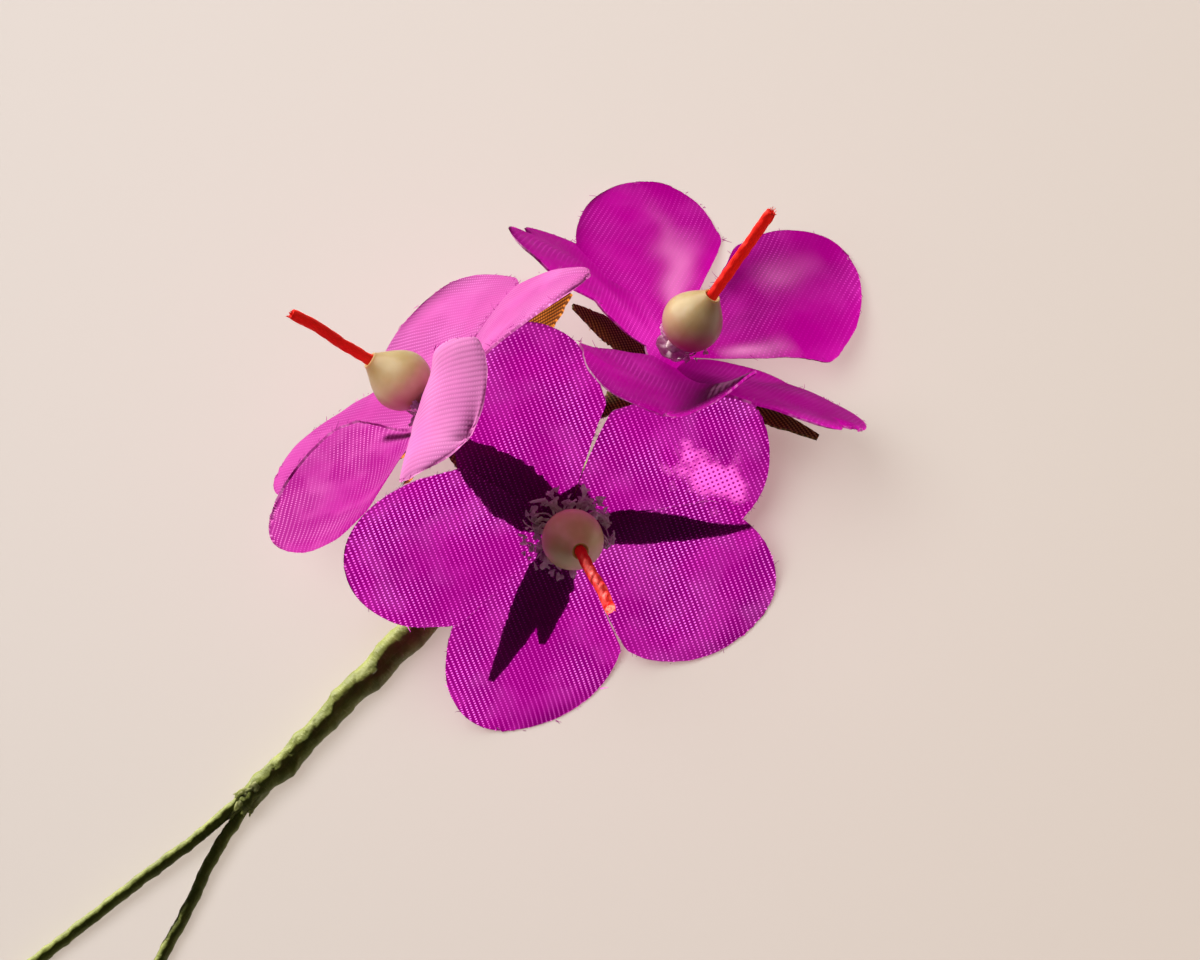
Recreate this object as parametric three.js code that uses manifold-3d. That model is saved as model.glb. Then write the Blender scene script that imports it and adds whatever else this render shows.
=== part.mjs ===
// Cranesbill boutonniere: three artificial fabric blossoms on taped wire stems, bound into one spray.
// Millimetres, +Z up. The spray lies on a surface and +X runs along its stem towards the blossoms.
import * as THREE from 'three';
import Module from 'manifold-3d';

const wasm = await Module();
wasm.setup();

const HUB_RADIUS = 1.6; // where the lobes of a corolla start
const FABRIC = 0.6; // thickness of petals and sepals
const LOBE_ANGLE = 35; // half of the sector that one lobe fills, degrees
const LOBE_ROUNDING = 0.56; // share of the lobe's length where its end starts to round off
const COROLLA_HUB = { inner: 0.62, outer: 2.4 };
const LYING = { height: 0.27, bend: 1.2 }; // middle of a petal that lies flat, and how softly it bends there

const SEPAL = { length: 15, half: 1.6, drop: 1.25, hub: 2.0, bore: 0.62 };
const RING = { inner: 0.62, outer: 1.4, bottom: 0.45, height: 0.4, filaments: 8 };
const FILAMENT = { start: 1.05, width: 0.34, thick: 0.26 };

const BEAD = { base: 1.3, length: 5.9, radius: 2.65, belly: 0.45, collar: 0.92, bore: 0.7, depth: 1.4 };
const PISTIL = { radius: 0.5, socket: 0.66, depth: 1.0 };

const WIRE = 0.25;
const NECK = { radius: 0.38, top: 1.9, bottom: -1.7 }; // bare wire through calyx, corolla and ring
const TAPED = 0.55; // radius of a taped wire
const PRESSED = 0.42; // radius of a taped wire inside the binding
const BINDING = { top: 1.55, end: 1.34, boreTop: 1.12, boreEnd: 1.02, lobe: 0.56 };
const WIRE_END = { length: 3.4, out: 1.2, gap: 0.09 };

// The blossoms are placed in the spray's face frame: x to the right, y up, z out of the front blossom.
// SURFACE_UP is the normal of the surface that the spray lies on, ALONG is the run of the stem.
const SURFACE_UP = new THREE.Vector3(-0.18, 0.19, 0.965).normalize();
const ALONG = new THREE.Vector3(0.74, 0.67, 0);
const SURFACE_LEVEL = -8.75; // height of the surface under the origin of the face frame

const COLOUR = {
  petal: 0xb92aa5, petalLight: 0xd955b4, petalDeep: 0xaf128f,
  calyx: 0x39421f, filament: 0xe9dce6, bead: 0xd9c49b, pistil: 0xc01622,
  tape: 0x93a650, binding: 0x86994a, wire: 0x8d8f92,
};

// Petals go round the blossom's axis. at: direction; tilt: slope at the hub; curl: change of slope
// to the tip; roll and twist: turn about the midline; cup: raised sides; left and right: one raised
// side; skew: sideways shift of the tip; trim: share cut off the left side of the tip; sector: half of the
// sector where it differs from LOBE_ANGLE. A blossom's axis and bead lean apart by a few degrees.
const BLOSSOMS = [
  {
    name: 'front', centre: [-3.1, -4.0, 0], axis: [0.22, -0.34, 0.91], zero: [1, 0, 0],
    beadAxis: [0.2, -0.28, 0.94], pistilAxis: [0.31, -0.59, 0.745], pistilLength: 8.0, seed: 11,
    colour: COLOUR.petal,
    petals: [
      {
        at: 186, tilt: 4, curl: 1, roll: 2, twist: -2, cup: -0.1, skew: -0.4, right: 1.4,
        length: 19.4, half: 7.1,
      },
      {
        at: 257, tilt: 3, curl: -12, cup: 0.6, skew: -0.8, right: 0.4, sector: 37,
        length: 19.9, half: 7.7,
      },
      {
        at: 330, tilt: 8, curl: 1, roll: 5, twist: 5, cup: 0.5, skew: 1.1, right: 0.7, sector: 36.5,
        length: 19.6, half: 7.6,
      },
      {
        at: 35, tilt: 0, curl: -7, roll: -3, cup: 0.3, skew: -2.2, trim: 0.42,
        length: 19.5, half: 7.4,
      },
      {
        at: 109, tilt: 0, curl: -5, roll: -3, cup: 0.3, skew: -1.3, trim: 0.66, sector: 38.5,
        length: 18.8, half: 7.3,
      },
    ],
    sepals: [
      { at: 1.5, tilt: -1, length: 16.4 }, { at: 74, tilt: -3, length: 12 },
      { at: 141, tilt: -9, length: 9.5 }, { at: 242, tilt: -6, curl: -3 }, { at: 295, tilt: -4, length: 10 },
    ],
  },
  {
    name: 'left', centre: [-13.9, 6.5, 0], axis: [-0.8, 0.56, 0.18], zero: [0, 0, 1],
    beadAxis: [-0.8, 0.52, 0.3], pistilAxis: [-0.8, 0.475, 0.36], pistilLength: 8.0, seed: 23,
    colour: COLOUR.petalLight,
    petals: [
      {
        at: -4, tilt: 10, curl: -16, roll: 21, twist: -16, cup: 2.6, skew: 2.1, left: -2.4, right: -3,
        length: 19.3, half: 7.7,
      },
      {
        at: 45, tilt: 8, curl: -7, roll: -8, twist: -12, cup: -0.6, skew: 2, left: 0.2, right: 2.6,
        trim: 0.6, length: 19.2, half: 7.4,
      },
      {
        at: 155, tilt: 15, curl: -9, roll: 4, twist: 13, skew: -1.4, left: 0.2, right: -2.2,
        length: 19.3, half: 7.8,
      },
      {
        at: 226, tilt: 24, curl: -4, roll: -4, twist: 5, skew: -0.6, left: 0.5, right: -0.7,
        length: 19.2, half: 7.4,
      },
      {
        at: 297, tilt: 6, curl: 38, roll: 17, twist: 13, cup: 1.1, left: 0.5, right: -0.5,
        length: 19.6, half: 7.9,
      },
    ],
    sepals: [
      { at: 6, tilt: -72, length: 8 }, { at: 88, tilt: -5, roll: 30, length: 14.2, half: 1.9 },
      { at: 157, tilt: 7 }, { at: 229, tilt: 12, length: 14.5 }, { at: 289, tilt: 2, length: 10 },
    ],
  },
  {
    name: 'right', centre: [6.0, 11.1, -3.0], axis: [0.4, 0.6, 0.69], zero: [0, 0, 1],
    beadAxis: [0.5, 0.65, 0.57], pistilAxis: [0.53, 0.75, 0.39], pistilLength: 9.2, seed: 43,
    colour: COLOUR.petalDeep,
    petals: [
      {
        at: 3, tilt: 36, curl: -6, roll: 9, cup: 1.3, skew: 0.4, left: -0.5, right: -1.4,
        length: 19.5, half: 7.2,
      },
      {
        at: 73, tilt: 38, curl: -14, roll: -19, twist: -3, cup: -0.5, skew: 2, right: 1.7,
        length: 19.3, half: 7.4,
      },
      {
        at: 149, tilt: 25, curl: 3, roll: -22, twist: 14, cup: -1.1, skew: 0.6, right: -0.8,
        length: 18.9, half: 7.7,
      },
      {
        at: 217, tilt: 9, curl: -14, roll: -6, twist: -5, cup: 0.1, skew: -0.7, left: -0.5, right: 0.3,
        length: 18.8, half: 6.8,
      },
      {
        at: 266, tilt: 20, curl: -36, roll: 25, twist: 4, cup: -0.2, skew: 1.4, left: -0.6, right: 0.9,
        length: 18, half: 7.4,
      },
    ],
    sepals: [
      { at: 20, tilt: 30, length: 5.5 }, { at: 92, tilt: 9 }, { at: 164, tilt: 20, length: 10.5 },
      { at: 212, tilt: 7, length: 12.5 }, { at: 290, tilt: 17, length: 10 },
    ],
  },
];

// Centre line of the bound bundle, and the runs that reach it from each blossom and leave it below.
const BUNDLE = [
  [-10.6, -7.1, -8], [-14.9, -11.4, -8], [-17.5, -14.5, -8.1], [-20.2, -17.1, -7.9],
  [-22.8, -19.7, -7.8], [-25.4, -22.6, -7.8], [-28.0, -25.2, -7.7], [-30.2, -27.3, -7.7],
  [-31.3, -28.4, -7.7],
];
const STEMS = {
  front: { back: 4.5, bends: [[-5.3, -2.9, -5.8], [-7.9, -5.0, -6.9]], side: [0, 1], stops: 0.55 },
  left: {
    back: 5, bends: [[-9.0, 1.2, -3.2], [-9.3, -2.0, -6.2], [-10.1, -4.8, -7.9]], side: [0.87, -0.5],
    leg: [
      [-35, -31.1, -7.8], [-39.4, -34.4, -8.1], [-43.8, -37.8, -8.5], [-49.1, -41.9, -9.0],
      [-58.5, -49.0, -9.55],
    ],
  },
  right: {
    back: 5, side: [-0.87, -0.5],
    bends: [[2.2, 5.0, -7.6], [-1.5, 0.6, -8.1], [-5.2, -3.4, -8.1], [-8.1, -6.1, -8.2]],
    leg: [[-33.9, -33.0, -7.6], [-35.9, -37.2, -7.4], [-38.4, -41.9, -7.0], [-43.5, -52.0, -6.2]],
  },
};

// Small helpers.

const rad = THREE.MathUtils.degToRad;
const vec = (p) => new THREE.Vector3(...p);
const clamp = THREE.MathUtils.clamp;

function randomFrom(seed) {
  let state = seed;
  return () => {
    state = (state * 1664525 + 1013904223) % 4294967296;
    return state / 4294967296;
  };
}

function meshGeometry(points, triangles) {
  const geometry = new THREE.BufferGeometry();
  const values = points.flatMap((p) => [p.x, p.y, p.z]);
  geometry.setAttribute('position', new THREE.Float32BufferAttribute(values, 3));
  geometry.setIndex(triangles);
  if (signedVolume(geometry) < 0) {
    for (let i = 0; i < triangles.length; i += 3) {
      [triangles[i], triangles[i + 1]] = [triangles[i + 1], triangles[i]];
    }
    geometry.setIndex(triangles);
  }
  geometry.computeVertexNormals();
  return geometry;
}

function signedVolume(geometry) {
  const position = geometry.attributes.position;
  const index = geometry.index.array;
  const [a, b, c] = [new THREE.Vector3(), new THREE.Vector3(), new THREE.Vector3()];
  let sum = 0;
  for (let i = 0; i < index.length; i += 3) {
    a.fromBufferAttribute(position, index[i]);
    b.fromBufferAttribute(position, index[i + 1]);
    c.fromBufferAttribute(position, index[i + 2]);
    sum += a.dot(b.cross(c)) / 6;
  }
  return sum;
}

function toManifold(geometry) {
  return new wasm.Manifold(new wasm.Mesh({
    numProp: 3,
    vertProperties: new Float32Array(geometry.attributes.position.array),
    triVerts: new Uint32Array(geometry.index.array),
  }));
}

function fromManifold(solid) {
  const mesh = solid.getMesh();
  const geometry = new THREE.BufferGeometry();
  geometry.setAttribute('position', new THREE.BufferAttribute(new Float32Array(mesh.vertProperties), 3));
  geometry.setIndex(Array.from(mesh.triVerts));
  geometry.computeVertexNormals();
  return geometry;
}

// A thin plate from a grid of mid-surface points, thickened along the surface normals.
function plate(rows, columns, point, thickness) {
  const grid = [];
  for (let i = 0; i < rows.length; i += 1) {
    grid.push(columns.map((t) => point(rows[i], t)));
  }
  const last = [rows.length - 1, columns.length - 1];
  const faces = [[], []];
  grid.forEach((line, i) => line.forEach((p, j) => {
    const along = grid[Math.min(i + 1, last[0])][j].clone().sub(grid[Math.max(i - 1, 0)][j]);
    const across = line[Math.min(j + 1, last[1])].clone().sub(line[Math.max(j - 1, 0)]);
    const normal = along.cross(across).normalize();
    faces[0].push(p.clone().addScaledVector(normal, thickness / 2));
    faces[1].push(p.clone().addScaledVector(normal, -thickness / 2));
  }));
  const n = columns.length;
  const size = faces[0].length;
  const triangles = [];
  const quad = (a, b, c, d) => triangles.push(a, b, c, a, c, d);
  for (let i = 0; i < last[0]; i += 1) {
    for (let j = 0; j < last[1]; j += 1) {
      const k = i * n + j;
      quad(k, k + 1, k + n + 1, k + n);
      quad(size + k, size + k + n, size + k + n + 1, size + k + 1);
    }
  }
  // The two faces are split along the same diagonal.
  for (let t = 0; t < triangles.length; t += 12) {
    const k = triangles[t];
    const [a, b, c, d] = [size + k, size + k + 1, size + k + n + 1, size + k + n];
    triangles.splice(t + 6, 6, a, c, b, a, d, c);
  }
  const rim = [];
  for (let j = 0; j < last[1]; j += 1) rim.push(j);
  for (let i = 0; i < last[0]; i += 1) rim.push(i * n + last[1]);
  for (let j = last[1]; j > 0; j -= 1) rim.push(last[0] * n + j);
  for (let i = last[0]; i > 0; i -= 1) rim.push(i * n);
  rim.forEach((a, i) => {
    const b = rim[(i + 1) % rim.length];
    quad(a, size + a, size + b, b);
  });
  return meshGeometry([...faces[0], ...faces[1]], triangles);
}

// A closed rod along a list of points; radius(s, angle) gives its section.
function rod(path, sides, radius) {
  const frames = pathFrames(path);
  const points = [];
  frames.forEach(({ centre, side, lift, share }) => {
    for (let k = 0; k < sides; k += 1) {
      const angle = (2 * Math.PI * k) / sides;
      const r = radius(share, angle);
      const [w, h] = Array.isArray(r) ? r : [r, r];
      const across = side.clone().multiplyScalar(w * Math.cos(angle));
      points.push(centre.clone().add(across).addScaledVector(lift, h * Math.sin(angle)));
    }
  });
  const triangles = [];
  for (let i = 0; i < frames.length - 1; i += 1) {
    for (let k = 0; k < sides; k += 1) {
      const a = i * sides + k;
      const b = i * sides + ((k + 1) % sides);
      triangles.push(a, b, b + sides, a, b + sides, a + sides);
    }
  }
  const first = points.length;
  points.push(frames[0].centre.clone(), frames[frames.length - 1].centre.clone());
  const end = (frames.length - 1) * sides;
  for (let k = 0; k < sides; k += 1) {
    const next = (k + 1) % sides;
    triangles.push(first, next, k, first + 1, end + k, end + next);
  }
  return meshGeometry(points, triangles);
}

// Frames carried along a path without twist, starting from the given side direction.
function pathFrames(path, start) {
  const tangents = path.map((p, i) => {
    const from = path[Math.max(i - 1, 0)];
    const to = path[Math.min(i + 1, path.length - 1)];
    return to.clone().sub(from).normalize();
  });
  const lengths = [0];
  for (let i = 1; i < path.length; i += 1) lengths.push(lengths[i - 1] + path[i].distanceTo(path[i - 1]));
  let side = start ? start.clone() : new THREE.Vector3(0.31, 0.2, 0.93);
  return path.map((centre, i) => {
    side = side.clone().addScaledVector(tangents[i], -side.dot(tangents[i])).normalize();
    const lift = tangents[i].clone().cross(side);
    return { centre, side, lift, tangent: tangents[i], share: lengths[i] / lengths[lengths.length - 1] };
  });
}

function smoothPath(points, step) {
  const curve = new THREE.CatmullRomCurve3(points, false, 'centripetal');
  return curve.getSpacedPoints(Math.max(2, Math.round(curve.getLength() / step)));
}

// A ring with a square section round the blossom's axis.
function washer(inner, outer, bottom, top, segments, place) {
  const corners = [[inner, bottom], [outer, bottom], [outer, top], [inner, top]];
  const points = [];
  for (let k = 0; k < segments; k += 1) {
    const angle = (2 * Math.PI * k) / segments;
    corners.forEach(([r, h]) => points.push(place(r * Math.cos(angle), r * Math.sin(angle), h)));
  }
  const triangles = [];
  for (let k = 0; k < segments; k += 1) {
    const a = k * 4;
    const b = ((k + 1) % segments) * 4;
    for (let c = 0; c < 4; c += 1) {
      const d = (c + 1) % 4;
      triangles.push(a + c, a + d, b + d, a + c, b + d, b + c);
    }
  }
  return meshGeometry(points, triangles);
}

// A solid of revolution round the given axis, from a profile that starts and ends on it.
function turned(profile, segments, place) {
  const geometry = new THREE.LatheGeometry(profile.map(([r, h]) => new THREE.Vector2(r, h)), segments);
  const points = [];
  const keys = new Map();
  const position = geometry.attributes.position;
  const renamed = [];
  for (let i = 0; i < position.count; i += 1) {
    const [x, h, y] = [position.getX(i), position.getY(i), position.getZ(i)];
    const key = [x, h, y].map((v) => Math.round(v * 1e4) + 0).join(' ');
    if (!keys.has(key)) {
      keys.set(key, points.length);
      points.push(place(x, y, h));
    }
    renamed.push(keys.get(key));
  }
  const triangles = [];
  const index = geometry.index.array;
  for (let i = 0; i < index.length; i += 3) {
    const [a, b, c] = [renamed[index[i]], renamed[index[i + 1]], renamed[index[i + 2]]];
    if (a !== b && b !== c && a !== c) triangles.push(a, b, c);
  }
  return meshGeometry(points, triangles);
}

// Placing on the surface and round a blossom's axis.

const worldX = ALONG.clone().addScaledVector(SURFACE_UP, -ALONG.dot(SURFACE_UP)).normalize();
const worldY = SURFACE_UP.clone().cross(worldX);
const toWorld = (p) => new THREE.Vector3(p.dot(worldX), p.dot(worldY), p.dot(SURFACE_UP) - SURFACE_LEVEL);

function axisFrame(centre, axisList, zeroList) {
  const origin = vec(centre);
  const axis = vec(axisList).normalize();
  const zero = vec(zeroList);
  const u = zero.addScaledVector(axis, -zero.dot(axis)).normalize();
  const v = axis.clone().cross(u);
  return (x, y, h) => origin.clone().addScaledVector(u, x).addScaledVector(v, y).addScaledVector(axis, h);
}

// Blossoms.

function lobeHalfWidth(r, petal) {
  const { length, half } = petal;
  const round = LOBE_ROUNDING * length;
  const beyond = clamp((r - round) / (length - round), 0, 1);
  const cap = half * Math.sqrt(1 - beyond * beyond);
  const sector = r * Math.tan(rad(petal.sector ?? LOBE_ANGLE));
  const blend = 0.5;
  const h = clamp(0.5 + (0.5 * (cap - sector)) / blend, 0, 1);
  return cap * (1 - h) + sector * h - (blend * h * (1 - h)) / 2;
}

// A point of a petal or sepal: s runs from the hub to the tip, t from one side to the other.
function bladePoint(blade, halfWidth, s, t) {
  const { at, tilt, curl = 0, roll = 0, twist = 0, cup = 0, skew = 0, left = 0, right = 0 } = blade;
  const { trim = 0, length, half } = blade;
  const span = length - HUB_RADIUS;
  const r = HUB_RADIUS + span * s;
  const [a0, bend] = [rad(tilt), rad(curl)];
  const slope = a0 + bend * s;
  const straight = Math.abs(bend) < 1e-6;
  const out = straight ? Math.cos(a0) * s : (Math.sin(slope) - Math.sin(a0)) / bend;
  const up = straight ? Math.sin(a0) * s : (Math.cos(a0) - Math.cos(slope)) / bend;
  const x = halfWidth(r, blade) * (t > 0 ? t * (1 - trim * s * s) : t) + skew * (r / length) ** 2;
  const u = x / half;
  const turn = rad(roll * Math.min(1, 2.5 * s) + twist * s);
  const raised = cup * u * u * Math.min(1, 1.5 * s)
    + (left * Math.max(u, 0) ** 2 + right * Math.max(-u, 0) ** 2) * s;
  const across = x * Math.cos(turn) - raised * Math.sin(turn);
  const normal = x * Math.sin(turn) + raised * Math.cos(turn);
  const radial = HUB_RADIUS + span * out - normal * Math.sin(slope);
  const height = span * up + normal * Math.cos(slope);
  const [c, d] = [Math.cos(rad(at)), Math.sin(rad(at))];
  return [radial * c - across * d, radial * d + across * c, height];
}

const PETAL_ROWS = [0, 0.17, 0.34, 0.5, 0.64, 0.76, 0.86, 0.93, 0.975, 0.996];
const PETAL_COLUMNS = [-1, -0.66, -0.33, 0, 0.33, 0.66, 1];
const SEPAL_ROWS = [0, 0.2, 0.4, 0.6, 0.78, 0.92, 1];
const SEPAL_COLUMNS = [-1, 0, 1];

function sepalHalfWidth(r, blade) {
  const s = (r - HUB_RADIUS) / (blade.length - HUB_RADIUS);
  return 0.28 + (blade.half - 0.28) * Math.sin(Math.PI * clamp(0.22 + 0.78 * s ** 0.9, 0, 1));
}

// Where a petal would pass below the surface it bends and lies flat on it.
function bentBySurface(p) {
  const height = toWorld(p).z;
  const overlap = Math.max(1 - Math.abs(height - LYING.height) / LYING.bend, 0);
  const lifted = Math.max(height, LYING.height) + (LYING.bend / 4) * overlap * overlap;
  return p.addScaledVector(SURFACE_UP, lifted - height);
}

function corolla(blossom, place) {
  const hub = washer(COROLLA_HUB.inner, COROLLA_HUB.outer, -FABRIC / 2, FABRIC / 2, 20, place);
  return blossom.petals.reduce((solid, petal) => {
    const point = (s, t) => bentBySurface(place(...bladePoint(petal, lobeHalfWidth, s, t)));
    return solid.add(toManifold(plate(PETAL_ROWS, PETAL_COLUMNS, point, FABRIC)));
  }, toManifold(hub));
}

function calyx(blossom, place) {
  const low = -SEPAL.drop;
  const hub = washer(SEPAL.bore, SEPAL.hub, low - FABRIC / 2, low + FABRIC / 2, 16, place);
  return blossom.sepals.reduce((solid, given) => {
    const sepal = { length: SEPAL.length, half: SEPAL.half, cup: -0.25, ...given };
    const point = (s, t) => {
      const [x, y, h] = bladePoint(sepal, sepalHalfWidth, s, t);
      return place(x, y, h - SEPAL.drop);
    };
    return solid.add(toManifold(plate(SEPAL_ROWS, SEPAL_COLUMNS, point, FABRIC)));
  }, toManifold(hub));
}

// Slope of the corolla in a given direction, used to keep the filaments above the petals.
function corollaSlope(blossom, direction) {
  const gaps = blossom.petals.map((petal) => {
    const gap = Math.abs(((direction - petal.at + 540) % 360) - 180);
    return { gap, tilt: petal.tilt };
  });
  gaps.sort((a, b) => a.gap - b.gap);
  return Math.max(gaps[0].tilt, gaps[1].gap < 45 ? gaps[1].tilt : 0);
}

function stamenRing(blossom, place) {
  const random = randomFrom(blossom.seed);
  const { inner, outer, bottom, height, filaments } = RING;
  let solid = toManifold(washer(inner, outer, bottom, bottom + height, 12, place));
  for (let k = 0; k < filaments; k += 1) {
    const direction = (360 / filaments) * (k + 0.5 * random());
    const slope = rad(clamp(corollaSlope(blossom, direction) + 8, 24, 37));
    const length = 2.7 + 1.5 * random();
    const bend = 0.25 * (random() - 0.5);
    const path = [0, 0.5, 1].map((s) => {
      const r = FILAMENT.start + length * s * Math.cos(slope);
      const h = bottom + height / 2 + length * s * Math.sin(slope) + 0.4 * s * s;
      const angle = rad(direction) + bend * s * s;
      return place(r * Math.cos(angle), r * Math.sin(angle), h);
    });
    const section = (s) => [FILAMENT.width * (1 - 0.35 * s), FILAMENT.thick * (1 - 0.25 * s)];
    solid = solid.add(toManifold(rod(path, 4, section)));
  }
  return solid;
}

// Teardrop with a blind bore in its base for the wire and one in its collar for the pistil.
function bead(place) {
  const { base, length, radius, belly, collar, bore, depth } = BEAD;
  const profile = [[0, base + depth], [bore, base + depth], [bore, base + 0.06]];
  for (let k = 2; k <= 8; k += 1) {
    const t = (k / 8) * belly;
    profile.push([radius * Math.sqrt(1 - ((belly - t) / belly) ** 2), base + t * length]);
  }
  for (let k = 1; k <= 6; k += 1) {
    const t = belly + (k / 6) * (1 - belly);
    const fall = Math.cos((k / 6) * (Math.PI / 2)) ** 1.15;
    profile.push([collar + (radius - collar) * fall, base + t * length]);
  }
  const top = base + length;
  profile.push([PISTIL.socket, top + 0.1], [PISTIL.socket, top - PISTIL.depth], [0, top - PISTIL.depth]);
  return toManifold(turned(profile, 16, place));
}

function pistil(blossom, place) {
  const top = BEAD.base + BEAD.length;
  const start = place(0, 0, top - PISTIL.depth + 0.15);
  const rim = place(0, 0, top + 0.15);
  const heading = vec(blossom.pistilAxis).normalize();
  const length = blossom.pistilLength;
  const path = smoothPath([
    start, rim,
    rim.clone().addScaledVector(heading, length * 0.35),
    rim.clone().addScaledVector(heading, length * 0.7).add(new THREE.Vector3(0.08, 0.1, 0)),
    rim.clone().addScaledVector(heading, length),
  ], 0.95);
  return toManifold(rod(path, 8, (s, angle) => PISTIL.radius * (1 + 0.1 * Math.cos(2 * angle - 9 * s))));
}

// Stems and binding.

const bundlePath = smoothPath(BUNDLE.map(vec), 1.9);
const acrossBundle = new THREE.Vector3(-0.67, 0.74, 0);
const bundleFrames = pathFrames(bundlePath, acrossBundle);

function stemPath(blossom, run) {
  const origin = vec(blossom.centre);
  const axis = vec(blossom.axis).normalize();
  const onAxis = (h) => origin.clone().addScaledVector(axis, h);
  const points = [onAxis(NECK.top), onAxis(0), onAxis(-2.2), onAxis(-run.back), ...run.bends.map(vec)];
  bundleFrames.forEach(({ centre, side, lift, share }) => {
    if (run.stops && share > run.stops) return;
    const reach = BINDING.lobe * (1 - 0.08 * share);
    // The third wire ends on the way, and the two that go on lie level side by side.
    const level = run.stops ? 1 : clamp((1 - share) / 0.35, 0, 1);
    const rise = Math.sign(lift.z) * run.side[1] * level;
    const beside = centre.clone().addScaledVector(side, reach * run.side[0]);
    points.push(beside.addScaledVector(lift, reach * rise));
  });
  if (run.leg) points.push(...run.leg.map(vec));
  return smoothPath(points, 1.25);
}

function nearestBundleGap(p) {
  return bundlePath.reduce((least, q) => Math.min(least, p.distanceTo(q)), Infinity);
}

function stemRadius(path, blossom) {
  const origin = vec(blossom.centre);
  const axis = vec(blossom.axis).normalize();
  return path.map((p) => {
    const h = p.clone().sub(origin).dot(axis);
    if (h > NECK.bottom && p.distanceTo(origin) < 3) return NECK.radius;
    const inside = clamp((nearestBundleGap(p) - 0.75) / 1.2, 0, 1);
    return PRESSED + (TAPED - PRESSED) * inside;
  });
}

function stem(blossom, grow = 0) {
  const path = stemPath(blossom, STEMS[blossom.name]);
  const radii = stemRadius(path, blossom);
  const frames = pathFrames(path);
  const radiusAt = (share, angle) => {
    const i = frames.findIndex((f) => f.share >= share - 1e-9);
    const crease = radii[i] > PRESSED + 0.05 && grow === 0 ? 0.04 * Math.sin(2 * angle + i * 0.9) : 0;
    return radii[i] + grow + crease;
  };
  return { path, solid: toManifold(rod(path, 7, radiusAt)) };
}

function binding(grownStems) {
  const outer = rod(bundlePath, 12, (s, angle) => {
    const r = BINDING.top + (BINDING.end - BINDING.top) * s;
    return r + 0.09 * Math.sin(angle - 34 * s) + 0.05 * Math.sin(2 * angle + 21 * s);
  });
  const [first, last] = [bundlePath[0], bundlePath[bundlePath.length - 1]];
  const longer = [
    first.clone().addScaledVector(bundleFrames[0].tangent, -1), ...bundlePath,
    last.clone().addScaledVector(bundleFrames[bundleFrames.length - 1].tangent, 1),
  ];
  const bore = rod(longer, 12, (s) => BINDING.boreTop + (BINDING.boreEnd - BINDING.boreTop) * s);
  const sleeve = toManifold(outer).subtract(toManifold(bore)).add(tail());
  return grownStems.reduce((solid, cutter) => solid.subtract(cutter), sleeve);
}

// Ragged end of the tape, a small web that starts on the binding's upper wall and dips into the fork.
function tail() {
  const end = bundleFrames[bundleFrames.length - 1];
  const rise = Math.sign(end.lift.z);
  const columns = [-1, -0.5, 0, 0.5, 1];
  const ragged = [0, 0.5, -0.3, 0.35, -0.1];
  const point = (s, t) => {
    const k = columns.indexOf(t);
    const reach = -1.6 + s * (4.0 + ragged[k]);
    const half = 0.78 + 0.5 * s;
    const height = 1.2 - 0.95 * s * s - 0.12 * t * t;
    return end.centre.clone()
      .addScaledVector(end.tangent, reach)
      .addScaledVector(end.side, half * t)
      .addScaledVector(end.lift, rise * height);
  };
  return toManifold(plate([0, 0.3, 0.55, 0.8, 1], columns, point, 0.34));
}

// The group.

const group = new THREE.Group();
group.name = 'cranesbill_boutonniere';

function boxGeometry(width, depth) {
  const points = [];
  for (let k = 0; k < 8; k += 1) {
    const x = k & 1 ? width / 2 : -width / 2;
    const y = k & 2 ? width / 2 : -width / 2;
    points.push(new THREE.Vector3(x, y, k & 4 ? 0 : -depth));
  }
  const faces = [[0, 2, 3, 1], [4, 5, 7, 6], [0, 1, 5, 4], [2, 6, 7, 3], [0, 4, 6, 2], [1, 3, 7, 5]];
  return meshGeometry(points, faces.flatMap(([a, b, c, d]) => [a, b, c, a, c, d]));
}

const surfaceBox = toManifold(boxGeometry(400, 40));

function addNode(name, solid, colour, roughness, metalness = 0) {
  const geometry = fromManifold(solid);
  const position = geometry.attributes.position;
  const p = new THREE.Vector3();
  for (let i = 0; i < position.count; i += 1) {
    position.setXYZ(i, ...toWorld(p.fromBufferAttribute(position, i)).toArray());
  }
  const trimmed = fromManifold(toManifold(geometry).subtract(surfaceBox));
  const material = new THREE.MeshStandardMaterial({ color: colour, roughness, metalness });
  material.name = name;
  const mesh = new THREE.Mesh(trimmed, material);
  mesh.name = name;
  group.add(mesh);
}

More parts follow.
